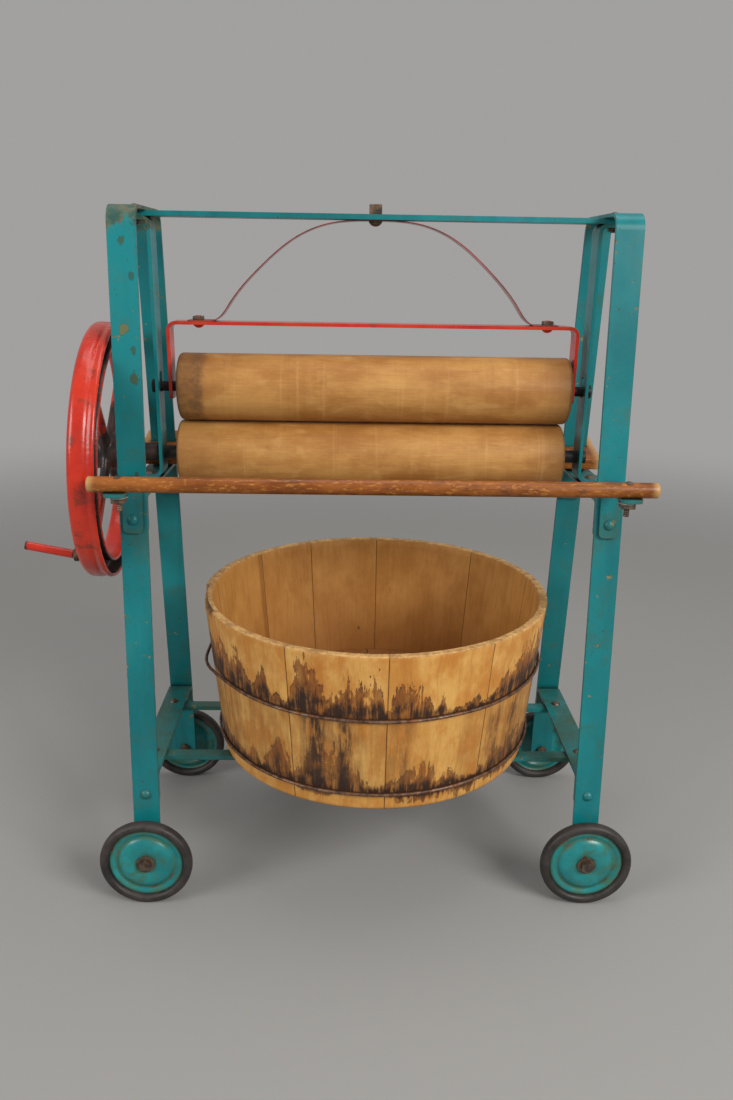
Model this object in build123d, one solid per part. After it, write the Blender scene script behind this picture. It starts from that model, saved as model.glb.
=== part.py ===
"""Small hand-cranked wringer washing machine: strap-steel stand on four wheels,
a two-roller wringer with a leaf-sprung yoke, and a staved wooden tub.

Millimetres. X runs along the rollers, the handwheel is at -X; Y runs from front (-Y)
to back; Z is up from the floor. The origin is on the floor midway between the end frames.
"""
from build123d import *
import os
from math import atan, cos, degrees, radians, sin, tan

# ---- driving dimensions ----
STRAP_W = 25.4           # width of the main steel strap
STRAP_T = 3.2            # its thickness
FRAME_X = 220.4          # end frame's centre plane
FRAME_TOP_Z = 664.4      # top face of the end frames
TOP_HALF_Y = 52.5        # half the spread of the legs at the top, to the strap's middle
FOOT_HALF_Y = 104.5      # the same at the axles
KNEE_Z = 66.0            # below this the legs are upright
FOOT_Z = 31.0            # lower end of the legs
TOP_BEND_R = 14.0
FOOT_CORNER = 8.0        # rounding of the legs' lower corners
TAB_CORNER = 5.0         # and of the tabs on rails, brackets and yoke

BAR_T = 4.8              # top bar
BAR_HALF_X = 233.0

GUIDE_X = 206.2          # guide strap's middle
GUIDE_FLANGE_X = 231.0   # how far the guide's bent ends reach

RAIL_TOP_Z = 413.4       # upper side rails
RAIL_TAB_Z = 376.5       # lower edge of their tabs
RAIL_BOLT_Z = 390.0
LOW_RAIL_TOP_Z = 135.6   # lower side rails
LOW_TAB_Z = 102.5
LOW_BOLT_Z = 113.4
CROSS_Y = 53.8           # lower cross bars
CROSS_W = 12.7
CROSS_T = 4.8

ROLLER_R = 32.0
ROLLER_HALF = 187.2
ROLLER_GAP = 0.6
LOWER_Z = 438.0          # lower shaft's axis
LOWER_SHIFT_X = -0.6
UPPER_SHIFT_X = 2.0
LOWER_SHAFT_R = 6.35
UPPER_SHAFT_R = 4.75
SHAFT_END_X = 213.0
RUN_CLEAR = 0.05         # radial clearance of a running fit

YOKE_X = 193.6           # yoke strap's middle
YOKE_TOP_Z = 564.4
YOKE_W = 20.6
YOKE_FOOT_Z = 491.5
YOKE_TRAVEL = 8.0
SPRING_W = 19.0
SPRING_T = 1.0
SPRING_BOLT_X = 166.0
SPRING_END_X = 175.0

WHEEL_X = -260.5         # handwheel's centre
WHEEL_R = 124.3
RIM_AXIAL = 25.0
RIM_RADIAL = 20.0
RIM_HOLLOW_W = 12.0      # the rim is hollow on the stand's side
RIM_HOLLOW_D = 16.0
CANT_YAW = 3.4           # the casting sits a little out of true on the shaft
CANT_TILT = 3.0
HUB_R = 17.0
BOSS_R = 8.8
CRANK_ANGLE = 226.0      # where the handle stands on the rim, from +Y towards +Z
CRANK_R = 4.0
CRANK_LEN = 44.0
CRANK_LEAN = 9.0         # the handle leans up out of square with the rim
CRANK_NUT_H = 4.0

DOWEL_Y = -134.5
DOWEL_Z = 437.0
DOWEL_R = 6.8
DOWEL_HALF = 243.6
DOWEL_BOLT_X = 217.6
BRACKET_W = 18.6

BOARD_FRONT_Y = 41.0     # drip board
BOARD_LIFT = 2.4         # its front edge clears the side rails by this
BOARD_DEPTH = 63.0
BOARD_T = 12.0
BOARD_HALF_X = 241.0
BOARD_SLOPE = 13.0
BOARD_BOLT_Y = 89.0

TYRE_R = 45.9            # road wheels
TYRE_IN_R = 37.5
TYRE_W = 12.0
AXLE_Y = 117.0
AXLE_R = 3.2

TUB_X = 7.0
TUB_Y = 8.0
TUB_TOP_Z = 295.4
TUB_TOP_R = 178.0
TUB_BOTTOM_R = 161.8
STAVE_T = 8.0
STAVE_JOINTS = [12, 46.5, 88, 116, 140, 174, 208, 241.5, 272.5, 306, 339]
STAVE_GAP = 0.25         # hairline between neighbouring staves
TUB_FLOOR_RISE = 12.0    # the bottom sits this far above the staves' lower edge
TUB_FLOOR_T = 9.0
WOOD_CLEAR = 0.1         # between the wall and what it holds
HOOP_R = 1.6
HOOP_HEIGHTS = {"tub_hoop_upper": 97.5, "tub_hoop_lower": 17.5}

BOLT_R = 2.4             # the small bolts
HOLE_R = 2.6

# ---- worked out ----
UPPER_Z = LOWER_Z + 2 * ROLLER_R + ROLLER_GAP
STRAP_MID_TOP = FRAME_TOP_Z - STRAP_T / 2
LEG_SLOPE = (FOOT_HALF_Y - TOP_HALF_Y) / (STRAP_MID_TOP - KNEE_Z)
LEG_ANGLE = degrees(atan(LEG_SLOPE))
STEP_OUT = STRAP_T / cos(radians(LEG_ANGLE))
BAR_TOP_Z = FRAME_TOP_Z - STRAP_T
BAR_BOTTOM_Z = BAR_TOP_Z - BAR_T
BOARD_FRONT_Z = RAIL_TOP_Z + BOARD_LIFT
TUB_BOTTOM_Z = LOW_RAIL_TOP_Z - STRAP_T
SIDES = {"left": -1, "right": 1}
ENDS = {"front": -1, "rear": 1}

os.makedirs("parts", exist_ok=True)


def leg_y(z):
    """Distance of a leg strap's middle from the Y = 0 plane at height z."""
    return TOP_HALF_Y + (STRAP_MID_TOP - z) * LEG_SLOPE


def strap(points, radii, width, thickness, across, corner=0.0):
    """A flat strap bent along points, its width lying along the direction across.

    corner rounds the four corners at its two ends.
    """
    with BuildLine() as line:
        FilletPolyline(*points, radius=radii)
    path = line.wire()
    start = Plane(origin=path @ 0, x_dir=across, z_dir=path % 0)
    piece = sweep(start * Rectangle(width, thickness), path=path)
    if not corner:
        return piece
    reach = width / 2 + 0.5
    tips = (path @ 0, path @ 1)
    edges = [e for e in piece.edges() if abs(e.length - thickness) < 0.01
             and min((e.center() - tip).length for tip in tips) < reach]
    return fillet(edges, corner)


def rod(start, end, radius):
    """A round bar from start to end."""
    a, b = Vector(*start), Vector(*end)
    plane = Plane(origin=a, z_dir=b - a)
    return extrude(plane * Circle(radius), amount=(b - a).length)


def along(origin, direction):
    return Plane(origin=Vector(*origin), z_dir=Vector(*direction))


def bolt(place, grip, head_r, head_h, tail=4.0, radius=BOLT_R):
    """Round-head bolt: the head's flat lies on place, the shank runs down its -Z."""
    dome_r = (head_r ** 2 + head_h ** 2) / (2 * head_h)
    ball = Pos(0, 0, head_h - dome_r) * Sphere(dome_r)
    head = ball & Pos(0, 0, head_h / 2) * Cylinder(head_r + 1, head_h)
    shank = Pos(0, 0, -(grip + tail) / 2) * Cylinder(radius, grip + tail)
    return place * (head + shank)


def square_nut(place, side, height, bore=BOLT_R):
    """Square nut standing on place, up its +Z."""
    body = Pos(0, 0, height / 2) * Box(side, side, height)
    return place * (chamfer(body.edges().group_by(Axis.Z)[-1], 0.5)
                    - Pos(0, 0, height / 2) * Cylinder(bore, height + 2))


def hex_nut(place, across_flats, height, bore=BOLT_R):
    body = extrude(RegularPolygon(across_flats / 2, 6, major_radius=False), amount=height)
    return place * (body - Pos(0, 0, height / 2) * Cylinder(bore, height + 2))


def washer(place, radius, height, bore):
    return place * Pos(0, 0, height / 2) * (Cylinder(radius, height) - Cylinder(bore, height + 2))


def write(name, *solids):
    pieces = [s for item in solids for s in item.solids()]
    export_step(pieces[0] if len(pieces) == 1 else Compound(children=pieces), f"parts/{name}.step")


def leg_normal(end):
    """Unit direction square to a leg's face, pointing out of the stand."""
    return (0, end * cos(radians(LEG_ANGLE)), sin(radians(LEG_ANGLE)))


def leg_face(side, end, z, outwards):
    """Place on a leg's outer (+1) or inner (-1) face, facing away from the strap."""
    normal = Vector(*leg_normal(end)) * outwards
    middle = Vector(side * FRAME_X, end * leg_y(z), z)
    return Plane(origin=middle + normal * (STRAP_T / 2), z_dir=normal)


def leg_holes(side, z, radius):
    """Cutters through both legs of an end frame, square to the straps."""
    return [leg_face(side, end, z, 1) * Cylinder(radius, 30) for end in (-1, 1)]


# ---- stand ----
def end_frame(side):
    x = side * FRAME_X
    points = [(x, -FOOT_HALF_Y, FOOT_Z), (x, -FOOT_HALF_Y, KNEE_Z), (x, -TOP_HALF_Y, STRAP_MID_TOP),
              (x, TOP_HALF_Y, STRAP_MID_TOP), (x, FOOT_HALF_Y, KNEE_Z), (x, FOOT_HALF_Y, FOOT_Z)]
    frame = strap(points, [60, TOP_BEND_R, TOP_BEND_R, 60], STRAP_W, STRAP_T, (1, 0, 0), FOOT_CORNER)
    frame -= Pos(x, 0, FRAME_TOP_Z) * Cylinder(HOLE_R, 20)
    for z in (RAIL_BOLT_Z, LOW_BOLT_Z):
        frame -= leg_holes(side, z, HOLE_R)
    frame -= Pos(x, 0, TYRE_R) * Rot(90, 0, 0) * Cylinder(AXLE_R, 3 * FOOT_HALF_Y)
    return frame


def top_bar():
    bar = Pos(0, 0, (BAR_TOP_Z + BAR_BOTTOM_Z) / 2) * Box(2 * BAR_HALF_X, STRAP_W, BAR_T)
    for x in (-FRAME_X, 0, FRAME_X):
        bar -= Pos(x, 0, BAR_TOP_Z) * Cylinder(HOLE_R if x else 3.2, 20)
    return bar


def guide(side):
    """Upright bearing strap, bent outward under the top bar and onto the side rail."""
    top_mid = BAR_BOTTOM_Z - STRAP_T / 2
    foot_mid = RAIL_TOP_Z + STRAP_T / 2
    points = [(side * GUIDE_FLANGE_X, 0, top_mid), (side * GUIDE_X, 0, top_mid),
              (side * GUIDE_X, 0, foot_mid), (side * GUIDE_FLANGE_X, 0, foot_mid)]
    piece = strap(points, [5, 9], STRAP_W, STRAP_T, (0, 1, 0), TAB_CORNER / 2)
    bearing = Pos(side * GUIDE_X, 0, LOWER_Z) * Rot(0, 90, 0)
    piece -= bearing * Cylinder(LOWER_SHAFT_R + RUN_CLEAR, 12)
    slot_low = UPPER_Z - UPPER_SHAFT_R - 0.6
    slot_high = UPPER_Z + UPPER_SHAFT_R + YOKE_TRAVEL + 1.0
    slot = Box(12, 2 * UPPER_SHAFT_R + 0.8, slot_high - slot_low)
    slot = fillet(slot.edges().filter_by(Axis.X), 2.5)
    piece -= Pos(side * GUIDE_X, 0, (slot_low + slot_high) / 2) * slot
    for z in (top_mid, foot_mid):
        piece -= Pos(side * FRAME_X, 0, z) * Cylinder(HOLE_R, 12)
    return piece


def rail(side, top_z, tab_z, bolt_z, drill):
    """Side rail between the legs, its tabs bent down against their inner faces."""
    x = side * FRAME_X
    mid = top_z - STRAP_T / 2
    corner = leg_y(mid) - STEP_OUT
    tab = leg_y(tab_z) - STEP_OUT
    points = [(x, -tab, tab_z), (x, -corner, mid), (x, corner, mid), (x, tab, tab_z)]
    piece = strap(points, [5, 5], STRAP_W, STRAP_T, (1, 0, 0), TAB_CORNER) - leg_holes(side, bolt_z, HOLE_R)
    for y in drill:
        piece -= Pos(x, y, mid) * Cylinder(HOLE_R, 12)
    return piece


def cross_bar(end):
    bar = Pos(0, end * CROSS_Y, TUB_BOTTOM_Z - CROSS_T / 2) * Box(2 * FRAME_X + 22, CROSS_W, CROSS_T)
    for side in SIDES.values():
        bar -= Pos(side * FRAME_X, end * CROSS_Y, TUB_BOTTOM_Z) * Cylinder(HOLE_R, 20)
    return bar


def front_bracket(side):
    """Tab on the leg's front face with a long flange under the dowel."""
    x = side * FRAME_X
    flange_z = DOWEL_Z - DOWEL_R - STRAP_T / 2
    corner = leg_y(flange_z) + STEP_OUT
    tab_z = RAIL_BOLT_Z - 12.5
    reach = DOWEL_Y - 8.5
    points = [(x, -(leg_y(tab_z) + STEP_OUT), tab_z), (x, -corner, flange_z), (x, reach, flange_z)]
    piece = strap(points, [5], BRACKET_W, STRAP_T, (1, 0, 0), TAB_CORNER) - leg_holes(side, RAIL_BOLT_Z, HOLE_R)
    piece -= Pos(side * DOWEL_BOLT_X, DOWEL_Y, flange_z) * Cylinder(HOLE_R, 12)
    return piece


def board_bottom(y):
    """Height of the drip board's underside at depth y."""
    return BOARD_FRONT_Z + (y - BOARD_FRONT_Y) * tan(radians(BOARD_SLOPE))


def rear_bracket(side):
    """Tab on the rear leg's back face with a flange under the drip board."""
    x = side * FRAME_X
    drop = STRAP_T / 2 / cos(radians(BOARD_SLOPE))
    tab_z = RAIL_BOLT_Z - 12.5
    rise = tan(radians(BOARD_SLOPE))
    corner_y = ((leg_y(BOARD_FRONT_Z - BOARD_FRONT_Y * rise - drop) + STEP_OUT)
                / (1 + LEG_SLOPE * rise))
    reach = BOARD_BOLT_Y + 8
    points = [(x, leg_y(tab_z) + STEP_OUT, tab_z), (x, corner_y, board_bottom(corner_y) - drop),
              (x, reach, board_bottom(reach) - drop)]
    piece = strap(points, [5], BRACKET_W, STRAP_T, (1, 0, 0), TAB_CORNER) - leg_holes(side, RAIL_BOLT_Z, HOLE_R)
    return piece - board_bolt_place(side) * Cylinder(HOLE_R, 40)


def board_bolt_place(side):
    """On the board's underside at its bolt, facing down."""
    normal = (0, sin(radians(BOARD_SLOPE)), -cos(radians(BOARD_SLOPE)))
    return along((side * FRAME_X, BOARD_BOLT_Y, board_bottom(BOARD_BOLT_Y)), normal)


def drip_board():
    """Sloping board behind the rollers, slotted over the rear legs."""
    front = (0, BOARD_FRONT_Y, BOARD_FRONT_Z)
    board = Plane(front) * Rot(BOARD_SLOPE, 0, 0) * Pos(0, BOARD_DEPTH / 2, BOARD_T / 2) * Box(
        2 * BOARD_HALF_X, BOARD_DEPTH, BOARD_T)
    board = fillet(board.edges().filter_by(Axis.X), 1.5)
    slot_z = board_bottom(leg_y(RAIL_TOP_Z)) + BOARD_T / 2
    for side in SIDES.values():
        board -= Pos(side * FRAME_X, leg_y(slot_z), slot_z) * Box(STRAP_W + 1.2, STRAP_T + 4, 60)
        board -= board_bolt_place(side) * Cylinder(HOLE_R, 60)
    return board


def dowel():
    piece = rod((-DOWEL_HALF, DOWEL_Y, DOWEL_Z), (DOWEL_HALF, DOWEL_Y, DOWEL_Z), DOWEL_R)
    piece = fillet(piece.edges(), 1.6)
    for side in SIDES.values():
        at_bolt = Pos(side * DOWEL_BOLT_X, DOWEL_Y, DOWEL_Z)
        piece -= at_bolt * Cylinder(HOLE_R, 30) + at_bolt * Pos(0, 0, DOWEL_R + 4.4) * Cylinder(4.6, 10)
    return piece


# ---- wringer ----
def yoke():
    mid = YOKE_TOP_Z - STRAP_T / 2
    points = [(-YOKE_X, 0, YOKE_FOOT_Z), (-YOKE_X, 0, mid), (YOKE_X, 0, mid), (YOKE_X, 0, YOKE_FOOT_Z)]
    piece = strap(points, [7, 7], YOKE_W, STRAP_T, (0, 1, 0), TAB_CORNER)
    for side in SIDES.values():
        piece -= Pos(side * YOKE_X, 0, UPPER_Z) * Rot(0, 90, 0) * Cylinder(UPPER_SHAFT_R + RUN_CLEAR, 12)
        piece -= Pos(side * SPRING_BOLT_X, 0, mid) * Cylinder(HOLE_R, 12)
    return piece


def leaf_spring():
    """Thin strip that lies flat on the yoke's ends and arches up to the top bar."""
    low = YOKE_TOP_Z + SPRING_T / 2
    top = BAR_BOTTOM_Z - SPRING_T / 2
    knots = [(-152, low), (-136, low + 15), (-104, low + 51), (-74, low + 75),
             (-44, low + 87.5), (0, top), (44, low + 87.5), (74, low + 75),
             (104, low + 51), (136, low + 15), (152, low)]
    with BuildLine() as line:
        Line((-SPRING_END_X, 0, low), (-152, 0, low))
        Spline(*[(x, 0, z) for x, z in knots], tangents=[(1, 0, 0.25), (1, 0, -0.25)])
        Line((152, 0, low), (SPRING_END_X, 0, low))
    path = line.wire()
    start = Plane(origin=path @ 0, x_dir=(0, 1, 0), z_dir=path % 0)
    strip = sweep(start * Rectangle(SPRING_W, SPRING_T), path=path)
    for x in (-SPRING_BOLT_X, SPRING_BOLT_X):
        strip -= Pos(x, 0, low) * Cylinder(HOLE_R, 12)
    return strip - Pos(0, 0, top) * Cylinder(3.2, 20)


def roller(shift, z, bore):
    blank = Pos(shift, 0, z) * Rot(0, 90, 0) * Cylinder(ROLLER_R, 2 * ROLLER_HALF)
    blank = fillet(blank.edges(), 3.5)
    return blank - Pos(shift, 0, z) * Rot(0, 90, 0) * Cylinder(bore, 2 * ROLLER_HALF + 4)


def handwheel():
    """Cast wheel with four flat spokes; rim and spokes are canted, hub and bore are not."""
    inner_r = WHEEL_R - RIM_RADIAL
    middle = inner_r + RIM_RADIAL / 2
    section = Pos(0, middle) * Rectangle(RIM_AXIAL, RIM_RADIAL)
    section = fillet(section.vertices().group_by(Axis.X)[0], 6.5)
    section = fillet(section.vertices().group_by(Axis.X)[-1], 1.5)
    hollow = Pos(RIM_AXIAL / 2, middle) * RectangleRounded(2 * RIM_HOLLOW_D, RIM_HOLLOW_W, 2)
    rim = revolve(section - hollow, Axis.X)
    spoke_len = inner_r + 2 - HUB_R / 2
    spoke = Pos(0, 0, HUB_R / 2 + spoke_len / 2) * Box(9, 14, spoke_len)
    spoke = fillet(spoke.edges().filter_by(Axis.Z), 3)
    for angle in (45, 135, 225, 315):
        rim += Rot(angle, 0, 0) * spoke
    rim = Rot(0, CANT_TILT, CANT_YAW) * rim
    hub = Rot(0, 90, 0) * Cylinder(HUB_R, 30)
    hub = fillet(hub.edges(), 3)
    boss_end = -GUIDE_X - STRAP_T / 2 - 1.0 - WHEEL_X
    boss = Pos(boss_end / 2, 0, 0) * Rot(0, 90, 0) * Cylinder(BOSS_R, boss_end)
    wheel = Pos(WHEEL_X, 0, LOWER_Z) * (rim + hub + boss)
    return wheel - Pos(WHEEL_X, 0, LOWER_Z) * Rot(0, 90, 0) * Cylinder(LOWER_SHAFT_R, 160)


def on_rim(out):
    """Place on the rim's outer face at the crank, facing out, a distance out from it."""
    return (Pos(WHEEL_X, 0, LOWER_Z) * Rot(0, CANT_TILT, CANT_YAW) * Rot(CRANK_ANGLE, 0, 0)
            * Pos(-RIM_AXIAL / 2 - out, WHEEL_R - RIM_RADIAL / 2, 0) * Rot(0, -90, 0))


def crank_handle():
    """Round bar with a thinner stud that screws into the rim through its nut."""
    foot = on_rim(CRANK_NUT_H)
    leaning = Pos(foot.position) * Rot(0, CANT_TILT + CRANK_LEAN, CANT_YAW) * Rot(0, -90, 0)
    grip = Pos(0, 0, 0.9 + CRANK_LEN / 2) * Cylinder(CRANK_R, CRANK_LEN)
    grip = fillet(grip.edges(), 0.8)
    stud = Pos(0, 0, -7) * Cylinder(3, 18)
    return leaning * grip + foot * stud


def collar(x):
    """End collar on the upper shaft, just outside the guide."""
    return Pos(x, 0, UPPER_Z) * Rot(0, 90, 0) * (Cylinder(6.4, 3) - Cylinder(UPPER_SHAFT_R, 5))


# ---- running gear ----
def wheel_disc(x, end):
    """Pressed steel disc: hub tube, domed centre, bead and flat rim inside the tyre."""
    half = TYRE_W / 2
    outline = [(AXLE_R + RUN_CLEAR, -half), (8, -half), (8, 0.5), (20, 2.2), (27, 1.2), (31, -1.5),
               (TYRE_IN_R - 0.4, -1.5), (TYRE_IN_R, -4.5), (TYRE_IN_R, 4), (TYRE_IN_R - 1.2, 4),
               (TYRE_IN_R - 1.2, 0.6), (31.6, 0.6), (28, 3.2), (20, 4.4), (9, 3.2), (AXLE_R + RUN_CLEAR, 3.2)]
    face = make_face(Plane.XY * Polyline(*outline, close=True))
    disc = revolve(face, Axis.Y)
    return place_wheel(x, end) * disc


def place_wheel(x, end):
    """Wheel's own frame: +Y points away from the stand."""
    return Pos(x, end * AXLE_Y, TYRE_R) * Rot(0, 0, 0 if end > 0 else 180)


def tyre(x, end):
    ring = TYRE_R - TYRE_IN_R
    face = Pos(TYRE_IN_R + ring / 2, 0) * RectangleRounded(ring, TYRE_W, 3.4)
    return place_wheel(x, end) * revolve(face, Axis.Y)


def axle_bolt(x, end):
    """Shoulder bolt through the leg: head outside the wheel, nut inside the leg."""
    head_at = AXLE_Y + TYRE_W / 2 - 1.2
    inner = FOOT_HALF_Y - STRAP_T / 2
    place = along((x, end * head_at, TYRE_R), (0, end, 0))
    head = place * Pos(0, 0, 2) * extrude(RegularPolygon(5.2, 6, major_radius=False), amount=2, both=True)
    return head + place * Pos(0, 0, -(head_at - inner + 6) / 2) * Cylinder(AXLE_R, head_at - inner + 6)


def axle_washer(x, end):
    outside = along((x, end * (AXLE_Y + 3.4), TYRE_R), (0, end, 0))
    return washer(outside, 9.2, 1.2, AXLE_R)


def axle_spacer(x, end):
    """Collar between the leg and the wheel's hub tube."""
    leg_side = FOOT_HALF_Y + STRAP_T / 2
    length = AXLE_Y - TYRE_W / 2 - 0.3 - leg_side
    return washer(along((x, end * leg_side, TYRE_R), (0, end, 0)), 6.5, length, AXLE_R)


def axle_nut(x, end):
    return hex_nut(along((x, end * (FOOT_HALF_Y - STRAP_T / 2), TYRE_R), (0, -end, 0)), 10.5, 4.5, AXLE_R)


# ---- tub ----
def tub_radius(height):
    slope = (TUB_TOP_R - TUB_BOTTOM_R) / (TUB_TOP_Z - TUB_BOTTOM_Z)
    return TUB_BOTTOM_R + height * slope


def tub_wall():
    height = TUB_TOP_Z - TUB_BOTTOM_Z
    outer = Cone(TUB_BOTTOM_R, TUB_TOP_R, height)
    inner = Cone(TUB_BOTTOM_R - STAVE_T, TUB_TOP_R - STAVE_T, height)
    return Pos(TUB_X, TUB_Y, TUB_BOTTOM_Z + height / 2) * (outer - inner)


def tub_staves():
    """The wall cut into staves along straight joints of the widths in STAVE_JOINTS."""
    wall = tub_wall()
    for angle in STAVE_JOINTS:
        cut = Pos(TUB_X, TUB_Y, TUB_BOTTOM_Z) * Rot(0, 0, angle) * Pos(TUB_TOP_R / 2, 0, 100)
        wall -= cut * Box(TUB_TOP_R + 40, STAVE_GAP, 300)
    return wall


def tub_bottom():
    low = tub_radius(TUB_FLOOR_RISE) - STAVE_T - WOOD_CLEAR
    high = tub_radius(TUB_FLOOR_RISE + TUB_FLOOR_T) - STAVE_T - WOOD_CLEAR
    plate = Cone(low, high, TUB_FLOOR_T)
    return Pos(TUB_X, TUB_Y, TUB_BOTTOM_Z + TUB_FLOOR_RISE + TUB_FLOOR_T / 2) * plate


def tub_hoop(height):
    ring = Torus(tub_radius(height) + HOOP_R + WOOD_CLEAR, HOOP_R)
    return Pos(TUB_X, TUB_Y, TUB_BOTTOM_Z + height) * ring


WHEELS = {f"{end}_{side}": (SIDES[side] * FRAME_X, ENDS[end]) for end in ENDS for side in SIDES}
LEGS = [(side, end) for side in SIDES.values() for end in ENDS.values()]

for name, side in SIDES.items():
    write(f"end_frame_{name}", end_frame(side))
    write(f"guide_{name}", guide(side))
    write(f"upper_rail_{name}", rail(side, RAIL_TOP_Z, RAIL_TAB_Z, RAIL_BOLT_Z, [0]))
    write(f"lower_rail_{name}",
          rail(side, LOW_RAIL_TOP_Z, LOW_TAB_Z, LOW_BOLT_Z, [-CROSS_Y, CROSS_Y]))
    write(f"front_bracket_{name}", front_bracket(side))
    write(f"rear_bracket_{name}", rear_bracket(side))
for name, end in ENDS.items():
    write(f"cross_bar_{name}", cross_bar(end))
write("top_bar", top_bar())
write("drip_board", drip_board())
write("front_dowel", dowel())

write("yoke", yoke())
write("leaf_spring", leaf_spring())
write("upper_roller", roller(UPPER_SHIFT_X, UPPER_Z, UPPER_SHAFT_R))
write("upper_shaft", rod((-SHAFT_END_X, 0, UPPER_Z), (SHAFT_END_X, 0, UPPER_Z), UPPER_SHAFT_R))
write("upper_shaft_collars", collar(-SHAFT_END_X + 2), collar(SHAFT_END_X - 2))
write("lower_roller", roller(LOWER_SHIFT_X, LOWER_Z, LOWER_SHAFT_R))
write("lower_shaft", rod((WHEEL_X - 17, 0, LOWER_Z), (SHAFT_END_X, 0, LOWER_Z), LOWER_SHAFT_R))
write("handwheel", handwheel() - on_rim(0) * Pos(0, 0, -8) * Cylinder(3, 16))
write("crank_handle", crank_handle())
write("crank_nut", hex_nut(on_rim(0), 11, CRANK_NUT_H, 3))

for name, (x, end) in WHEELS.items():
    write(f"wheel_disc_{name}", wheel_disc(x, end))
    write(f"tyre_{name}", tyre(x, end))
write("axle_bolts", *[axle_bolt(x, end) for x, end in WHEELS.values()])
write("axle_spacers", *[axle_spacer(x, end) for x, end in WHEELS.values()])
write("axle_nuts", *[axle_nut(x, end) for x, end in WHEELS.values()])
write("axle_washers", *[axle_washer(x, end) for x, end in WHEELS.values()])

write("tub_staves", tub_staves())
write("tub_bottom", tub_bottom())
for name, height in HOOP_HEIGHTS.items():
    write(name, tub_hoop(height))

# ---- fasteners, alike ones together ----
top_grip = STRAP_T + BAR_T + STRAP_T
write("frame_top_bolts", *[bolt(along((x, 0, FRAME_TOP_Z), (0, 0, 1)), top_grip, 5, 3)
                           for x in (-FRAME_X, FRAME_X)])
write("frame_top_nuts", *[square_nut(along((x, 0, BAR_BOTTOM_Z - STRAP_T), (0, 0, -1)), 8.5, 3.2)
                          for x in (-FRAME_X, FRAME_X)])
spring_face = along((0, 0, BAR_BOTTOM_Z - SPRING_T), (0, 0, -1))
write("spring_centre_bolt", bolt(spring_face, SPRING_T + BAR_T, 6.5, 4.5, tail=8, radius=3))
write("spring_centre_nut", square_nut(along((0, 0, BAR_TOP_Z), (0, 0, 1)), 11.5, 9, 3))
write("yoke_bolts", *[bolt(along((x, 0, YOKE_TOP_Z - STRAP_T), (0, 0, -1)), STRAP_T + SPRING_T, 5.5, 3.5)
                      for x in (-SPRING_BOLT_X, SPRING_BOLT_X)])
write("yoke_nuts", *[square_nut(along((x, 0, YOKE_TOP_Z + SPRING_T), (0, 0, 1)), 9.5, 3.4)
                     for x in (-SPRING_BOLT_X, SPRING_BOLT_X)])
rail_bolts, rail_nuts = [], []
for z, straps in ((RAIL_BOLT_Z, 3), (LOW_BOLT_Z, 2)):
    for side, end in LEGS:
        head = leg_face(side, end, z, 1) * Pos(0, 0, (straps - 2) * STRAP_T)
        rail_bolts.append(bolt(head, straps * STRAP_T, 5.2, 3.4))
        rail_nuts.append(square_nut(leg_face(side, end, z, -1) * Pos(0, 0, STRAP_T), 8.5, 3.2))
write("rail_bolts", *rail_bolts)
write("rail_nuts", *rail_nuts)
foot_stack = [(side * FRAME_X, 0, RAIL_TOP_Z + STRAP_T) for side in SIDES.values()]
write("guide_foot_bolts", *[bolt(along(at, (0, 0, 1)), 2 * STRAP_T, 5, 3) for at in foot_stack])
write("guide_foot_nuts", *[square_nut(along((x, y, RAIL_TOP_Z - STRAP_T), (0, 0, -1)), 8.5, 3.2)
                           for x, y, z in foot_stack])
rail_spots = [(side * FRAME_X, end * CROSS_Y) for side, end in LEGS]
write("cross_bar_bolts", *[bolt(along((x, y, LOW_RAIL_TOP_Z), (0, 0, 1)), STRAP_T + CROSS_T, 5, 3)
                           for x, y in rail_spots])
write("cross_bar_nuts", *[square_nut(along((x, y, TUB_BOTTOM_Z - CROSS_T), (0, 0, -1)), 8.5, 3.2)
                          for x, y in rail_spots])
dowel_low = DOWEL_Z - DOWEL_R - STRAP_T
dowel_spots = [(side * DOWEL_BOLT_X, DOWEL_Y) for side in SIDES.values()]
write("dowel_bolts", *[bolt(along((x, y, DOWEL_Z + DOWEL_R - 0.6), (0, 0, 1)),
                            2 * DOWEL_R - 0.6 + STRAP_T, 4.2, 1.6, tail=13) for x, y in dowel_spots])
write("dowel_washers", *[washer(along((x, y, dowel_low), (0, 0, -1)), 7.6, 1.4, BOLT_R)
                         for x, y in dowel_spots])
write("dowel_nuts", *[square_nut(along((x, y, dowel_low - 1.4), (0, 0, -1)), 11.5, 4.2)
                      for x, y in dowel_spots])
board_places = [board_bolt_place(side) for side in SIDES.values()]
write("board_bolts", *[bolt(place * Pos(0, 0, -BOARD_T) * Rot(180, 0, 0), BOARD_T + STRAP_T, 5, 2.6)
                       for place in board_places])
write("board_nuts", *[square_nut(place * Pos(0, 0, STRAP_T), 8.5, 3.2) for place in board_places])
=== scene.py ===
"""Looks of the small wringer washing machine: materials, detailed pieces, light and camera.

Lengths in the tables are millimetres, as in part.py; MM turns them into metres.
"""

import bpy
import math
import numpy as np
from math import cos, pi, radians, sin
from mathutils import Euler, Matrix, Vector, noise


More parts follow.
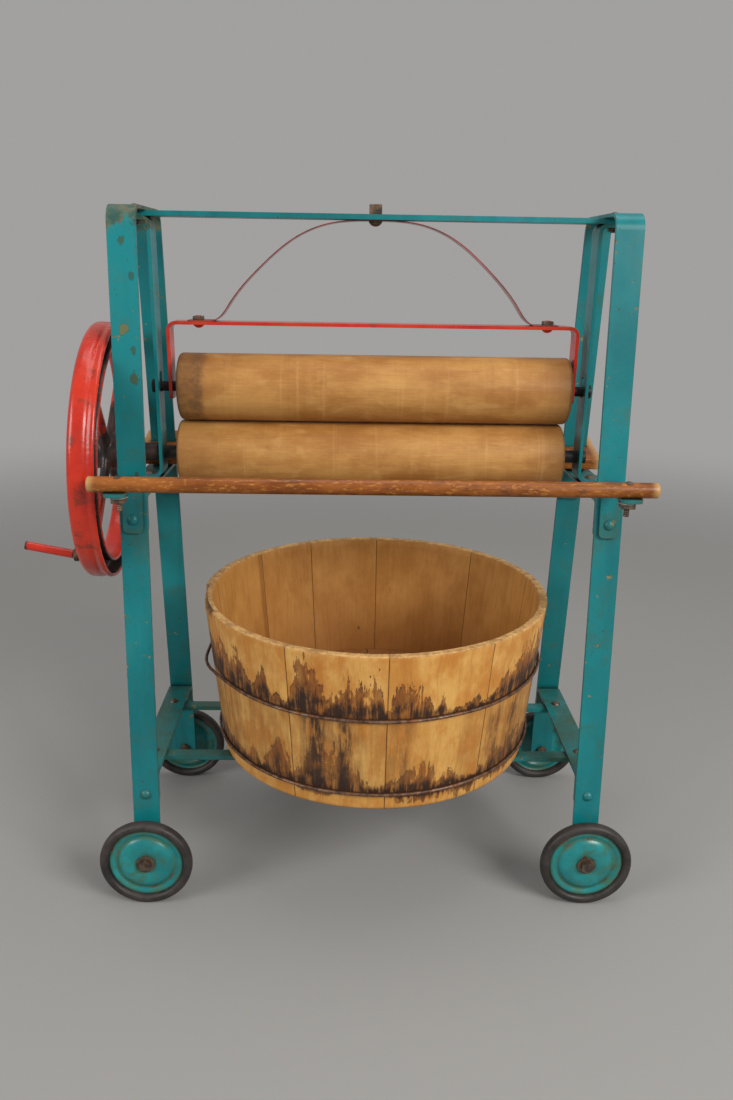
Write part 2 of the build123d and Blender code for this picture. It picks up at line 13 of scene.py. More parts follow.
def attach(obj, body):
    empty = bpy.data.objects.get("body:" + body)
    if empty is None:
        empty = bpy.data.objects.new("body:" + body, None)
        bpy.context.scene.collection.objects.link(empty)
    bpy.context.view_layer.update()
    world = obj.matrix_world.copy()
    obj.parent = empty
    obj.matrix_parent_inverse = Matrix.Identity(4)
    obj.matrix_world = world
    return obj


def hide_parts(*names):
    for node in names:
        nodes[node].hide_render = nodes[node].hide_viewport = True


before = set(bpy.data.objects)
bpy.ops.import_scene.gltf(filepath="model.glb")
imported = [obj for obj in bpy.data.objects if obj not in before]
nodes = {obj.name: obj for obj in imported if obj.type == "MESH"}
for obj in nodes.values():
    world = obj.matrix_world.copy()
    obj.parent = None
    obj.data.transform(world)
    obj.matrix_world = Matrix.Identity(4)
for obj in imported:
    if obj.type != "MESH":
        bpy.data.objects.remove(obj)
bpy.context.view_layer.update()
MM = 0.001

# ---- places shared with the CAD model, in millimetres ----
LOWER_Z = 438.0
UPPER_Z = 502.6
ROLLER_R = 32.0
ROLLER_HALF = 187.2
ROLLER_ROUND = 3.5
WHEEL_X = -260.5
WHEEL_R = 124.3
RIM_AXIAL = 25.0
RIM_RADIAL = 20.0
HOLLOW_W = 12.0
HOLLOW_D = 16.0
CANT = Euler((0, radians(3.0), 0)).to_matrix() @ Euler((0, 0, radians(3.4))).to_matrix()
RIM_INNER = WHEEL_R - RIM_RADIAL
HUB_R = 17.0
HANDLE_WORN_X = (-316.5, -319.0)
GUIDE_FACE_X = -208.8
FRAME_X = 220.4
AXLE_Y = 117.0
TYRE_R = 45.9
TYRE_IN_R = 37.5
TUB_FOOT = Vector((7.0, 8.0, 132.4))
TUB_H = 163.0
TUB_BOTTOM_R = 161.8
TUB_TOP_R = 178.0
STAVE_T = 8.0
STAVE_JOINTS = [12, 46.5, 88, 116, 140, 174, 208, 241.5, 272.5, 306, 339]
HOOP_UPPER = 97.5
HOOP_LOWER = 17.5
HOOP_R = 1.6
STAVE_GAP = 0.004
ARC_R = 170.0
WIDE_JOINT = 141.2
FLOOR_SEAMS = (-68.0, 3.0, 79.0)
BOARD_HALF = 241.0
DOWEL_Y = -134.5
DOWEL_Z = 437.0
DOWEL_R = 6.8
DOWEL_HALF = 243.6


# ---- node helper ----
class Mat:
    """A material's node tree, with short calls for the few nodes used here."""

    def __init__(self, name, **uniform):
        self.material = bpy.data.materials.new(name)
        self.material.use_nodes = True
        self.tree = self.material.node_tree
        self.tree.nodes.clear()
        out = self.add("ShaderNodeOutputMaterial")
        self.shader = self.add("ShaderNodeBsdfPrincipled")
        self.tree.links.new(self.shader.outputs[0], out.inputs[0])
        for key, value in uniform.items():
            self.shader.inputs[key.replace("_", " ")].default_value = value
        self.object = self.add("ShaderNodeTexCoord").outputs["Object"]

    def add(self, kind, **settings):
        node = self.tree.nodes.new(kind)
        for key, value in settings.items():
            setattr(node, key, value)
        return node

    def put(self, socket, value):
        if isinstance(value, bpy.types.NodeSocket):
            self.tree.links.new(value, socket)
        elif hasattr(value, "__len__") and len(value) == 3 and socket.type == "RGBA":
            socket.default_value = (*value, 1)
        else:
            socket.default_value = value

    def math(self, operation, a, b=0.0, clamp=False):
        node = self.add("ShaderNodeMath", operation=operation, use_clamp=clamp)
        self.put(node.inputs[0], a)
        self.put(node.inputs[1], b)
        return node.outputs[0]

    def mul(self, a, b, c=None):
        product = self.math("MULTIPLY", a, b)
        return product if c is None else self.math("MULTIPLY", product, c)

    def plus(self, a, b):
        return self.math("ADD", a, b)

    def most(self, a, b):
        return self.math("MAXIMUM", a, b)

    def minus(self, a, b):
        return self.math("SUBTRACT", a, b)

    def flip(self, a):
        return self.minus(1.0, a)

    def abs(self, a):
        return self.math("ABSOLUTE", a)

    def axes(self, vector=None):
        node = self.add("ShaderNodeSeparateXYZ")
        self.put(node.inputs[0], vector or self.object)
        return node.outputs

    def stretch(self, x, y, z, vector=None):
        node = self.add("ShaderNodeMapping")
        self.put(node.inputs["Vector"], vector or self.object)
        node.inputs["Scale"].default_value = (x, y, z)
        return node.outputs[0]

    def noise(self, scale, stretch=None, detail=5, rough=0.55, warp=0.0, vector=None):
        vector = self.stretch(*stretch, vector) if stretch else (vector or self.object)
        node = self.add("ShaderNodeTexNoise")
        self.put(node.inputs["Vector"], vector)
        node.inputs["Scale"].default_value = scale
        node.inputs["Detail"].default_value = detail
        node.inputs["Roughness"].default_value = rough
        node.inputs["Distortion"].default_value = warp
        return node.outputs[0]

    def step(self, value, low, high, to_low=0.0, to_high=1.0):
        """Smooth step: to_low under low, to_high over high."""
        node = self.add("ShaderNodeMapRange", interpolation_type="SMOOTHSTEP")
        self.put(node.inputs["Value"], value)
        self.put(node.inputs["From Min"], low)
        self.put(node.inputs["From Max"], high)
        self.put(node.inputs["To Min"], to_low)
        self.put(node.inputs["To Max"], to_high)
        return node.outputs[0]

    def mix(self, factor, a, b, blend="MIX"):
        node = self.add("ShaderNodeMix", data_type="RGBA", blend_type=blend)
        self.put(node.inputs[0], factor)
        self.put(node.inputs[6], a)
        self.put(node.inputs[7], b)
        return node.outputs[2]

    def attribute(self, name):
        """What store() wrote on the mesh."""
        return self.add("ShaderNodeAttribute", attribute_name=name).outputs["Fac"]

    def edges(self, radius=0.9):
        """1 along sharp edges, within about radius millimetres."""
        bevel = self.add("ShaderNodeBevel", samples=4)
        bevel.inputs["Radius"].default_value = radius * MM
        geometry = self.add("ShaderNodeNewGeometry")
        dot = self.add("ShaderNodeVectorMath", operation="DOT_PRODUCT")
        self.put(dot.inputs[0], bevel.outputs[0])
        self.put(dot.inputs[1], geometry.outputs["Normal"])
        return self.step(dot.outputs["Value"], 0.99, 0.80)

    def crevice_shade(self, distance=6.0):
        """1 deep in corners between touching pieces, from ambient occlusion; the materials mix it
        into their colour as painted shade.
        """
        node = self.add("ShaderNodeAmbientOcclusion", samples=6)
        node.inputs["Distance"].default_value = distance * MM
        return self.step(node.outputs["AO"], 0.75, 0.25)

    def finish(self, colour, rough, height, depth=0.3, soft=0.0):
        """depth is the bump's height and soft the radius edges seem to have, in millimetres."""
        self.put(self.shader.inputs["Base Color"], colour)
        self.put(self.shader.inputs["Roughness"], rough)
        bump = self.add("ShaderNodeBump")
        bump.inputs["Strength"].default_value = 1.0
        bump.inputs["Distance"].default_value = depth * MM
        self.put(bump.inputs["Height"], height)
        if soft:
            bevel = self.add("ShaderNodeBevel", samples=6)
            bevel.inputs["Radius"].default_value = soft * MM
            self.put(bump.inputs["Normal"], bevel.outputs[0])
        self.put(self.shader.inputs["Normal"], bump.outputs[0])
        return self.material


# ---- materials ----
RUST = (0.085, 0.030, 0.012)
RUST_LIGHT = (0.22, 0.085, 0.025)
PRIMER = (0.20, 0.19, 0.07)
OLIVE = (0.10, 0.115, 0.06)
# a wave texture's phase, in radians, is this times its scale times the place
WAVE_STEEPNESS = 20
# (x, z, radius, colour) of the larger chips on the left front leg
LEG_CHIPS = [
    (-221.8, 560.5, 3.4, (0.16, 0.145, 0.045)),
    (-213.9, 517.5, 3.4, (0.055, 0.075, 0.035)),
    (-213.8, 541.5, 1.7, (0.05, 0.09, 0.055)),
    (-220.2, 633.5, 1.9, (0.05, 0.10, 0.055)),
    (-213.2, 605.8, 1.6, (0.03, 0.10, 0.08)),
    (-216.0, 430.0, 1.8, (0.06, 0.05, 0.03)),
]
# the left end frame's top is rubbed bare between and over these heights
RUBBED_FROM, RUBBED_OVER = 644.0, 651.0


def worn_leg(m, colour, bare):
    """The left front leg's larger chips and the rubbed top of the left end frame."""
    x, y, z = m.axes()
    wobble = m.step(m.noise(190.0, detail=4, rough=0.7), 0.3, 0.7, -1.5, 1.5)
    for chip_x, chip_z, radius, tone in LEG_CHIPS:
        across = m.minus(m.mul(x, 1 / MM), chip_x)
        along = m.mul(m.minus(m.mul(z, 1 / MM), chip_z), 0.7)
        far = m.math("SQRT", m.plus(m.mul(across, across), m.mul(along, along)))
        far = m.plus(far, wobble)
        chip = m.mul(m.step(far, radius + 0.4, radius - 0.4), m.step(y, 0.0, -MM, 0, 0.8))
        ring = m.mul(m.step(far, radius + 1.0, radius + 0.2), m.step(y, 0.0, -MM, 0, 0.5))
        colour = m.mix(chip, m.mix(ring, colour, (0.02, 0.045, 0.035)), tone)
    ragged = m.step(m.noise(40.0, rough=0.7), 0.3, 0.7, -8 * MM, 8 * MM)
    top = m.step(m.plus(z, ragged), RUBBED_FROM * MM, RUBBED_OVER * MM)
    rub = m.mul(top, m.step(x, 0.0, -10 * MM))
    mottle = m.step(m.noise(85.0, rough=0.7), 0.40, 0.60)
    tone = m.mix(mottle, (0.022, 0.065, 0.045), OLIVE)
    tone = m.mix(m.step(m.noise(190.0, detail=4), 0.55, 0.66), tone, (0.15, 0.065, 0.02))
    colour = m.mix(m.mul(rub, 0.9), colour, tone)
    return colour, m.most(bare, m.mul(rub, 0.6))


def teal_paint(name, grime=0.2, chips=0.5, rust=0.3, worn_top=False):
    """Aged enamel: chips to primer and rust, dark worn edges, a film of grime, and painted shade in
    its corners.

    worn_top adds the chips and the rubbed top of the left end frame.
    """
    m = Mat(name, Coat_Weight=0.10, Coat_Roughness=0.22, Specular_IOR_Level=0.35)
    cloud = m.noise(9.0, (1, 1, 0.45))
    colour = m.mix(m.step(cloud, 0.3, 0.7), (0.002, 0.115, 0.128), (0.005, 0.205, 0.220))
    streak = m.noise(60.0, (1, 1, 0.05), detail=4)
    colour = m.mix(m.step(streak, 0.45, 0.75, 0, 0.40), colour, (0.003, 0.10, 0.11))
    film = m.noise(28.0, detail=6, rough=0.65)
    dirt = m.step(film, 0.60 - 0.35 * grime, 0.78 - 0.15 * grime, 0, min(1.0, 0.30 + grime))
    colour = m.mix(dirt, colour, (0.030, 0.105, 0.080))
    dust = m.step(m.noise(55.0, detail=6, rough=0.7), 0.56, 0.74, 0, 0.65 * grime)
    colour = m.mix(dust, colour, (0.10, 0.095, 0.050))
    # painted shade: near black in corners and round the bolts, from ambient occlusion
    crack_and_shade = m.crevice_shade(7.0)
    colour = m.mix(m.mul(crack_and_shade, 0.85), colour, (0.010, 0.018, 0.014))
    # chips, large ones to a yellowish primer and small ones to rust
    patch = m.noise(95.0, detail=3, rough=0.5, warp=0.3)
    patch_mask = m.step(patch, 0.715 - 0.03 * chips, 0.735 - 0.03 * chips)
    primer = m.mix(m.step(m.noise(300.0, detail=3), 0.4, 0.6), PRIMER, (0.10, 0.075, 0.03))
    colour = m.mix(m.mul(patch_mask, 0.85), colour, primer)
    speck = m.plus(m.noise(420.0, detail=2, rough=0.5), m.mul(m.noise(18.0, detail=3), 0.25))
    speck_mask = m.step(speck, 0.875 - 0.06 * rust, 0.90 - 0.06 * rust)
    colour = m.mix(speck_mask, colour, RUST)
    edge = m.mul(m.edges(1.0), m.step(m.noise(120.0, detail=4), 0.42 - 0.1 * chips, 0.60))
    worn = m.mix(m.step(film, 0.4, 0.65), (0.022, 0.035, 0.025), (0.09, 0.040, 0.016))
    colour = m.mix(m.mul(edge, 0.85), colour, worn)
    bare = m.most(m.most(edge, patch_mask), speck_mask)
    if worn_top:
        colour, bare = worn_leg(m, colour, bare)
    rough = m.plus(m.step(film, 0.3, 0.8, 0.30, 0.50), m.mul(bare, 0.3))
    relief = m.plus(m.mul(cloud, 0.35), m.mul(m.noise(160.0, detail=3), 0.10))
    return m.finish(colour, rough, m.minus(relief, m.mul(bare, 0.5)), 0.25, soft=0.7)


def disc_paint():
    """Teal of the pressed wheels: paler, rusty round the bead, in patches and round the hub."""
    m = Mat("teal_disc", Coat_Weight=0.30, Coat_Roughness=0.22, Specular_IOR_Level=0.4)
    where = m.attribute("ring")
    cloud = m.noise(30.0)
    colour = m.mix(m.step(cloud, 0.3, 0.7), (0.004, 0.155, 0.165), (0.010, 0.25, 0.25))
    mottle = m.noise(70.0, detail=6, rough=0.7)
    groove = m.mul(m.step(where, 0.70, 0.75), m.step(where, 0.84, 0.79))
    rim = m.step(where, 0.86, 0.97)
    hub = m.step(where, 0.33, 0.22)
    amount = m.plus(m.plus(m.mul(groove, 0.16), m.mul(rim, 0.17)), m.mul(hub, 0.15))
    green = m.step(m.plus(mottle, amount), 0.46, 0.66, 0, 0.85)
    colour = m.mix(green, colour, (0.045, 0.13, 0.075))
    blot = m.noise(46.0, rough=0.6, warp=0.5)
    spread = m.plus(m.plus(m.mul(blot, 0.6), m.mul(mottle, 0.4)), m.mul(amount, 0.75))
    rust = m.step(spread, 0.665, 0.72, 0, 0.85)
    tone = m.mix(m.step(m.noise(240.0, detail=4), 0.4, 0.6), RUST, (0.14, 0.062, 0.025))
    colour = m.mix(rust, colour, tone)
    speck = m.step(m.noise(330.0, detail=2), 0.74, 0.77)
    colour = m.mix(speck, colour, RUST)
    bare = m.most(rust, speck)
    rough = m.plus(m.step(mottle, 0.3, 0.8, 0.25, 0.45), m.mul(bare, 0.35))
    return m.finish(colour, rough, m.minus(m.mul(mottle, 0.3), m.mul(bare, 0.5)), 0.2)


def red_paint(name, wear, dark_where=None, base=(0.56, 0.030, 0.010),
              deep=(0.42, 0.016, 0.007)):
    """Worn gloss enamel with painted shade in its corners. dark_where(m) may add a mask of dirty,
    unpainted iron; the handwheel's mask also holds painted shade.
    """
    m = Mat(name, Coat_Weight=0.28, Coat_Roughness=0.16, Specular_IOR_Level=0.35)
    cloud = m.noise(16.0, rough=0.6)
    colour = m.mix(m.step(cloud, 0.35, 0.65), deep, base)
    fade = m.step(m.noise(38.0, rough=0.65), 0.50, 0.75, 0, 0.35)
    colour = m.mix(fade, colour, (0.58, 0.085, 0.030))
    rub = m.noise(52.0, detail=6, rough=0.72)
    grime = m.step(rub, 0.60 - 0.12 * wear, 0.72 - 0.12 * wear, 0, 0.30 + 0.6 * wear)
    colour = m.mix(grime, colour, (0.105, 0.028, 0.012))
    # painted shade: near black in corners and round the bolts, from ambient occlusion
    colour = m.mix(m.mul(m.crevice_shade(4.0), 0.8), colour, (0.03, 0.008, 0.006))
    edge = m.mul(m.edges(0.7), m.step(m.noise(150.0, detail=4), 0.48 - 0.1 * wear, 0.66))
    speck = m.plus(m.noise(380.0, detail=2), m.mul(m.noise(22.0, detail=3), 0.2))
    speck = m.step(speck, 0.86, 0.89)
    bare = m.most(m.mul(edge, 0.7), speck)
    colour = m.mix(bare, colour, (0.055, 0.022, 0.014))
    if dark_where:
        dark = dark_where(m)
        # dark iron where dark_where marks it; on the handwheel the hub, the spokes' roots and the
        # hollow are partly painted shade
        iron = m.mix(m.step(rub, 0.4, 0.65), (0.012, 0.008, 0.007), (0.045, 0.016, 0.011))
        colour = m.mix(dark, colour, iron)
        bare = m.most(bare, m.mul(dark, 0.8))
    rough = m.plus(m.step(rub, 0.3, 0.8, 0.20, 0.42), m.mul(bare, 0.35))
    relief = m.plus(m.mul(cloud, 0.5), m.mul(m.noise(110.0, detail=3), 0.15))
    return m.finish(colour, rough, m.minus(relief, m.mul(bare, 0.5)), 0.3, soft=0.5)


def steel(name, rust=0.6, dark=(0.05, 0.042, 0.035), light=(0.17, 0.13, 0.095),
          metallic=0.55, thread=0.0):
    """Dull steel with rust and painted shade in its corners. thread is the pitch of ridges along Z,
    in millimetres.
    """
    m = Mat(name, Metallic=metallic)
    cloud = m.noise(130.0, rough=0.65)
    colour = m.mix(m.step(cloud, 0.35, 0.65), dark, light)
    bloom = m.noise(210.0, rough=0.7)
    mask = m.step(bloom, 0.70 - 0.35 * rust, 0.82 - 0.30 * rust)
    colour = m.mix(mask, colour, m.mix(m.step(cloud, 0.4, 0.6), RUST, RUST_LIGHT))
    # painted shade: dark in corners and against touching parts, from ambient occlusion
    colour = m.mix(m.mul(m.crevice_shade(3.0), 0.7), colour, (0.02, 0.014, 0.01))
    height = m.plus(m.mul(bloom, 0.5), m.mul(cloud, 0.3))
    if thread:
        wave = m.add("ShaderNodeTexWave", wave_type="BANDS", bands_direction="Z")
        m.put(wave.inputs["Vector"], m.object)
        wave.inputs["Scale"].default_value = 2 * pi / (WAVE_STEEPNESS * thread * MM)
        height = m.plus(height, m.mul(wave.outputs["Fac"], 1.6))
    return m.finish(colour, m.step(bloom, 0.35, 0.75, 0.38, 0.72), height, 0.18, soft=0.4)


def tyre_rubber():
    m = Mat("tyre_rubber", Specular_IOR_Level=0.4)
    cloud = m.noise(45.0, detail=6, rough=0.7)
    colour = m.mix(m.step(cloud, 0.35, 0.7), (0.020, 0.017, 0.016), (0.050, 0.040, 0.036))
    scuff = m.step(m.noise(260.0, detail=4, rough=0.7), 0.6, 0.8, 0, 0.5)
    colour = m.mix(scuff, colour, (0.10, 0.085, 0.075))
    crack_and_shade = m.noise(500.0, detail=3)
    height = m.plus(m.mul(cloud, 0.6), m.mul(crack_and_shade, 0.25))
    return m.finish(colour, m.step(cloud, 0.3, 0.7, 0.40, 0.62), height, 0.15)


def roller_wood(name, seed, stain=None):
    """Turned maple, its grain along X. stain is (edge x, width) of a dark band at the -X end."""
    m = Mat(name, Coat_Weight=0.06, Coat_Roughness=0.35, Specular_IOR_Level=0.3)
    shift = m.add("ShaderNodeVectorMath", operation="ADD")
    m.put(shift.inputs[0], m.object)
    shift.inputs[1].default_value = (seed, seed * 0.7, seed * 1.3)
    at = shift.outputs[0]
    cloud = m.noise(15.0, (0.8, 1.6, 1.6), detail=6, rough=0.65, vector=at)
    blotch = m.noise(42.0, (0.7, 1.2, 1.2), rough=0.6, warp=0.3, vector=at)
    grain = m.noise(300.0, (0.045, 1, 1), rough=0.7, warp=0.2, vector=at)
    fibre = m.noise(1000.0, (0.05, 1, 1), detail=3, vector=at)
    rings = m.noise(120.0, (1, 0.03, 0.03), detail=4, rough=0.7, vector=at)
    colour = m.mix(m.step(cloud, 0.34, 0.66), (0.33, 0.135, 0.030), (0.49, 0.245, 0.066))
    colour = m.mix(m.step(blotch, 0.52, 0.72, 0, 0.40), colour, (0.60, 0.35, 0.12))
    colour = m.mix(m.step(blotch, 0.46, 0.30, 0, 0.35), colour, (0.34, 0.14, 0.035))
    colour = m.mix(m.step(grain, 0.46, 0.70, 0, 0.26), colour, (0.28, 0.115, 0.030))
    colour = m.mix(m.step(fibre, 0.55, 0.75, 0, 0.30), colour, (0.26, 0.11, 0.035))
    colour = m.mix(m.step(fibre, 0.44, 0.28, 0, 0.22), colour, (0.62, 0.37, 0.13))
    colour = m.mix(m.step(rings, 0.54, 0.72, 0, 0.26), colour, (0.60, 0.36, 0.13))
    colour = m.mix(m.step(rings, 0.45, 0.30, 0, 0.20), colour, (0.27, 0.11, 0.035))
    x = m.axes()[0]
    from_middle = m.abs(x)
    near_end = m.step(from_middle, (ROLLER_HALF - 47.2) * MM, (ROLLER_HALF + 0.8) * MM, 0, 0.30)
    colour = m.mix(near_end, colour, (0.30, 0.13, 0.04))
    end = m.step(from_middle, (ROLLER_HALF - 2.7) * MM, (ROLLER_HALF + 0.3) * MM)
    colour = m.mix(m.mul(end, 0.6), colour, (0.13, 0.055, 0.02))
    if stain:
        edge, width = stain
        ragged = m.step(m.noise(45.0, rough=0.7), 0.3, 0.7, -3.0 * MM, 3.0 * MM)
        place_x = m.plus(x, ragged)
        band = m.step(place_x, (edge + 3.0) * MM, (edge - 5.0) * MM)
        line = m.mul(m.step(place_x, (edge - width) * MM, edge * MM), band)
        mottled = m.step(m.noise(70.0, detail=6, rough=0.75), 0.32, 0.66, 0.28, 0.80)
        colour = m.mix(m.mul(band, mottled), colour, (0.11, 0.052, 0.022))
        colour = m.mix(m.mul(line, 0.30), colour, (0.05, 0.024, 0.014))
    height = m.plus(m.mul(grain, 0.4), m.plus(m.mul(fibre, 0.15), m.mul(rings, 0.15)))
    return m.finish(colour, m.step(cloud, 0.3, 0.7, 0.44, 0.58), height, 0.10)


def varnished_wood(name, ends_x):
    """Old orange varnish over wood, grain along X, worn pale at the ends, at +-ends_x."""
    m = Mat(name, Coat_Weight=0.10, Coat_Roughness=0.25, Specular_IOR_Level=0.28)
    cloud = m.noise(26.0, (0.6, 1, 1), rough=0.65)
    grain = m.noise(330.0, (0.10, 1, 1), rough=0.7)
    fleck = m.noise(380.0, (0.35, 1, 1), detail=4, rough=0.65)
    colour = m.mix(m.step(cloud, 0.3, 0.7), (0.165, 0.042, 0.005), (0.30, 0.092, 0.012))
    colour = m.mix(m.step(grain, 0.48, 0.68, 0, 0.55), colour, (0.10, 0.028, 0.007))
    colour = m.mix(m.step(fleck, 0.54, 0.66, 0, 0.70), colour, (0.46, 0.185, 0.034))
    dark = m.step(m.noise(60.0, (0.5, 1, 1), detail=6, rough=0.75), 0.54, 0.66, 0, 0.65)
    colour = m.mix(dark, colour, (0.075, 0.024, 0.009))
    pale = m.step(m.abs(m.axes()[0]), (ends_x - 9) * MM, (ends_x - 1) * MM, 0, 0.75)
    colour = m.mix(pale, colour, (0.52, 0.30, 0.11))
    height = m.plus(m.mul(grain, 0.5), m.mul(fleck, 0.3))
    return m.finish(colour, m.step(cloud, 0.3, 0.7, 0.32, 0.50), height, 0.15, soft=1.0)


def water_stains(m, colour, at, high, outside):
    """Dark flames from the hoops up and from the lower one down, and smears between the hoops."""
    coarse = m.noise(1.0, (0.10, 1, 0.045), detail=4, rough=0.65, warp=0.6, vector=at)
    fine = m.noise(1.0, (0.45, 1, 0.05), detail=3, rough=0.7, vector=at)
    ragged = m.plus(m.step(coarse, 0.28, 0.72, 0.60, 1.20), m.step(fine, 0.35, 0.65, -0.14, 0.18))
    upright = m.noise(1.0, (0.16, 1, 0.018), rough=0.7, warp=0.4, vector=at)
    cloudy = m.noise(1.0, (0.07, 1, 0.06), detail=4, rough=0.65, vector=at)
    streaks = m.plus(m.mul(upright, 0.65), m.mul(cloudy, 0.35))

    def flame(profile, base, sign):
        """(body, outline, heart) of a stain that grows from base, up or down."""
        reach = m.mul(m.attribute(profile), ragged)
        away = m.mul(m.minus(high, base), sign)
        inside = m.minus(reach, away)
        on = m.step(away, -2.0, 0.0)
        body = m.mul(m.step(inside, -1.0, 5.0), on)
        outline = m.mul(m.step(inside, -0.5, 1.2), m.step(inside, 5.5, 1.8), on)
        heart = m.mul(m.step(m.math("DIVIDE", away, m.plus(reach, 4.0)), 0.85, 0.0), body)
        return body, outline, heart

    upper = flame("rise_upper", HOOP_UPPER, 1.0)
    lower = flame("rise_lower", HOOP_LOWER, 1.0)
    drip = flame("drip", HOOP_LOWER, -1.0)
    body = m.most(upper[0], m.most(lower[0], drip[0]))
    outline = m.most(upper[1], m.mul(m.most(lower[1], drip[1]), 0.7))
    heart = m.most(upper[2], m.most(m.mul(lower[2], 0.8), m.mul(drip[2], 0.8)))
    smear = m.attribute("smear")
    between = m.mul(m.step(high, HOOP_UPPER + 1, HOOP_UPPER - 4),
                    m.step(high, HOOP_LOWER - 1, HOOP_LOWER + 4))
    wash = m.mul(smear, between, m.step(streaks, 0.36, 0.58, 0.20, 1.0))
    patches = m.noise(1.0, (0.05, 1, 0.03), rough=0.65, vector=at)
    halo = m.mul(m.step(patches, 0.42, 0.64), outside)

    colour = m.mix(m.mul(halo, 0.65), colour, (0.50, 0.175, 0.022))
    tint = m.mul(smear, m.step(coarse, 0.30, 0.62, 0.35, 1.0))
    colour = m.mix(m.mul(tint, outside, 0.75), colour, (0.42, 0.145, 0.020))
    warm = m.mul(body, outside, m.step(streaks, 0.34, 0.58, 0.55, 0.90))
    colour = m.mix(warm, colour, (0.21, 0.062, 0.011))
    colour = m.mix(m.mul(wash, outside, 0.90), colour, (0.105, 0.055, 0.024))
    dark = m.mul(m.step(heart, 0.05, 0.65), m.step(streaks, 0.40, 0.54, 0.10, 1.0))
    dark = m.most(dark, m.mul(outline, m.step(coarse, 0.38, 0.56, 0.10, 0.85)))
    dark = m.most(dark, m.mul(m.step(wash, 0.45, 0.95), 0.85))
    colour = m.mix(m.mul(dark, outside), colour, (0.032, 0.015, 0.009))
    rings = m.most(m.step(m.abs(m.minus(high, HOOP_UPPER)), 3.0, 0.8),
                   m.step(m.abs(m.minus(high, HOOP_LOWER)), 3.0, 0.8))
    return m.mix(m.mul(rings, outside, 0.8), colour, (0.05, 0.020, 0.010))


def tub_wood():
    """Softwood staves: upright grain, dark flame-shaped water stains on the hoops, a grey rim.

    Reads the attributes that stave_wall() stores: around and high (millimetres), side
    (0 outside, 1 inside), tone (a number per stave), joint (millimetres from the stave's
    edge), wide_joint, broken and the four stain profiles.
    """
    m = Mat("tub_wood", Specular_IOR_Level=0.35)
    around = m.attribute("around")
    high = m.attribute("high")
    side = m.attribute("side")
    tone = m.attribute("tone")
    join = m.add("ShaderNodeCombineXYZ")
    m.put(join.inputs[0], around)
    m.put(join.inputs[1], m.plus(m.mul(tone, 90.0), m.mul(side, 31.0)))
    m.put(join.inputs[2], high)
    at = join.outputs[0]
    outside = m.flip(side)

    bend = m.noise(1.0, (0.02, 1, 0.008), detail=2, vector=at)
    bent = m.add("ShaderNodeCombineXYZ")
    m.put(bent.inputs[0], m.plus(around, m.mul(bend, 26.0)))
    m.put(bent.inputs[1], m.mul(tone, 70.0))
    m.put(bent.inputs[2], high)
    lines = bent.outputs[0]
    grain = m.noise(1.0, (0.30, 1, 0.010), rough=0.62, vector=lines)
    fibre = m.noise(1.0, (1.8, 1, 0.08), detail=3, vector=at)
    cloud = m.noise(1.0, (0.035, 1, 0.020), rough=0.65, vector=at)
    light = m.mix(tone, (0.80, 0.49, 0.145), (0.68, 0.36, 0.090))
    colour = m.mix(m.step(cloud, 0.36, 0.66), light, (0.58, 0.265, 0.052))
    colour = m.mix(m.step(grain, 0.50, 0.72, 0, 0.42), colour, (0.36, 0.145, 0.028))
    colour = m.mix(m.step(fibre, 0.52, 0.75, 0, 0.24), colour, (0.28, 0.115, 0.028))
    colour = m.mix(m.step(grain, 0.42, 0.28, 0, 0.35), colour, (0.82, 0.54, 0.19))

    # inside: an even orange, with painted shade that deepens towards the floor
    inner = m.mix(m.step(cloud, 0.3, 0.7), (0.60, 0.30, 0.078), (0.46, 0.205, 0.044))
    inner = m.mix(m.step(grain, 0.48, 0.70, 0, 0.30), inner, (0.34, 0.135, 0.030))
    inner = m.mix(m.step(fibre, 0.55, 0.75, 0, 0.20), inner, (0.30, 0.12, 0.03))
    inner = m.mix(m.step(high, 125.0, 15.0, 0, 0.55), inner, (0.25, 0.085, 0.016))
    colour = m.mix(side, colour, inner)

    colour = water_stains(m, colour, at, high, outside)
    joint = m.attribute("joint")
    colour = m.mix(m.step(joint, 0.65, 0.15, 0, 0.85), colour, (0.045, 0.018, 0.007))
    wide = m.attribute("wide_joint")
    wide = m.mul(wide, side, m.step(fibre, 0.3, 0.6, 0.6, 0.95))
    colour = m.mix(wide, colour, (0.22, 0.075, 0.012))

    # a few dark knots and pores, and the weathered rim
    spot = m.noise(1.0, (0.11, 1, 0.05), detail=1, vector=at)
    colour = m.mix(m.step(spot, 0.80, 0.84, 0, 0.75), colour, (0.10, 0.04, 0.015))
    rim = m.step(high, TUB_H - 2.2, TUB_H - 0.4)
    rim_tone = m.mix(m.step(m.noise(110.0, detail=6, rough=0.75), 0.38, 0.62),
                     (0.30, 0.16, 0.060), (0.62, 0.38, 0.14))
    colour = m.mix(m.mul(rim, 0.85), colour, rim_tone)
    foot = m.step(high, 2.0, 0.4)
    colour = m.mix(m.mul(foot, 0.6), colour, (0.12, 0.06, 0.03))
    broken = m.attribute("broken")
    colour = m.mix(m.mul(broken, 0.9), colour,
                   m.mix(m.step(fibre, 0.4, 0.6), (0.09, 0.045, 0.025), (0.26, 0.14, 0.07)))
    # painted shade: darker in corners and along the hoops, from ambient occlusion
    colour = m.mix(m.mul(m.crevice_shade(3.0), 0.7), colour, (0.06, 0.022, 0.008))
    height = m.plus(m.mul(grain, 0.35), m.mul(fibre, 0.30))
    height = m.plus(height, m.mul(broken, m.mul(fibre, 1.5)))
    return m.finish(colour, m.step(grain, 0.3, 0.7, 0.52, 0.66), height, 0.25)


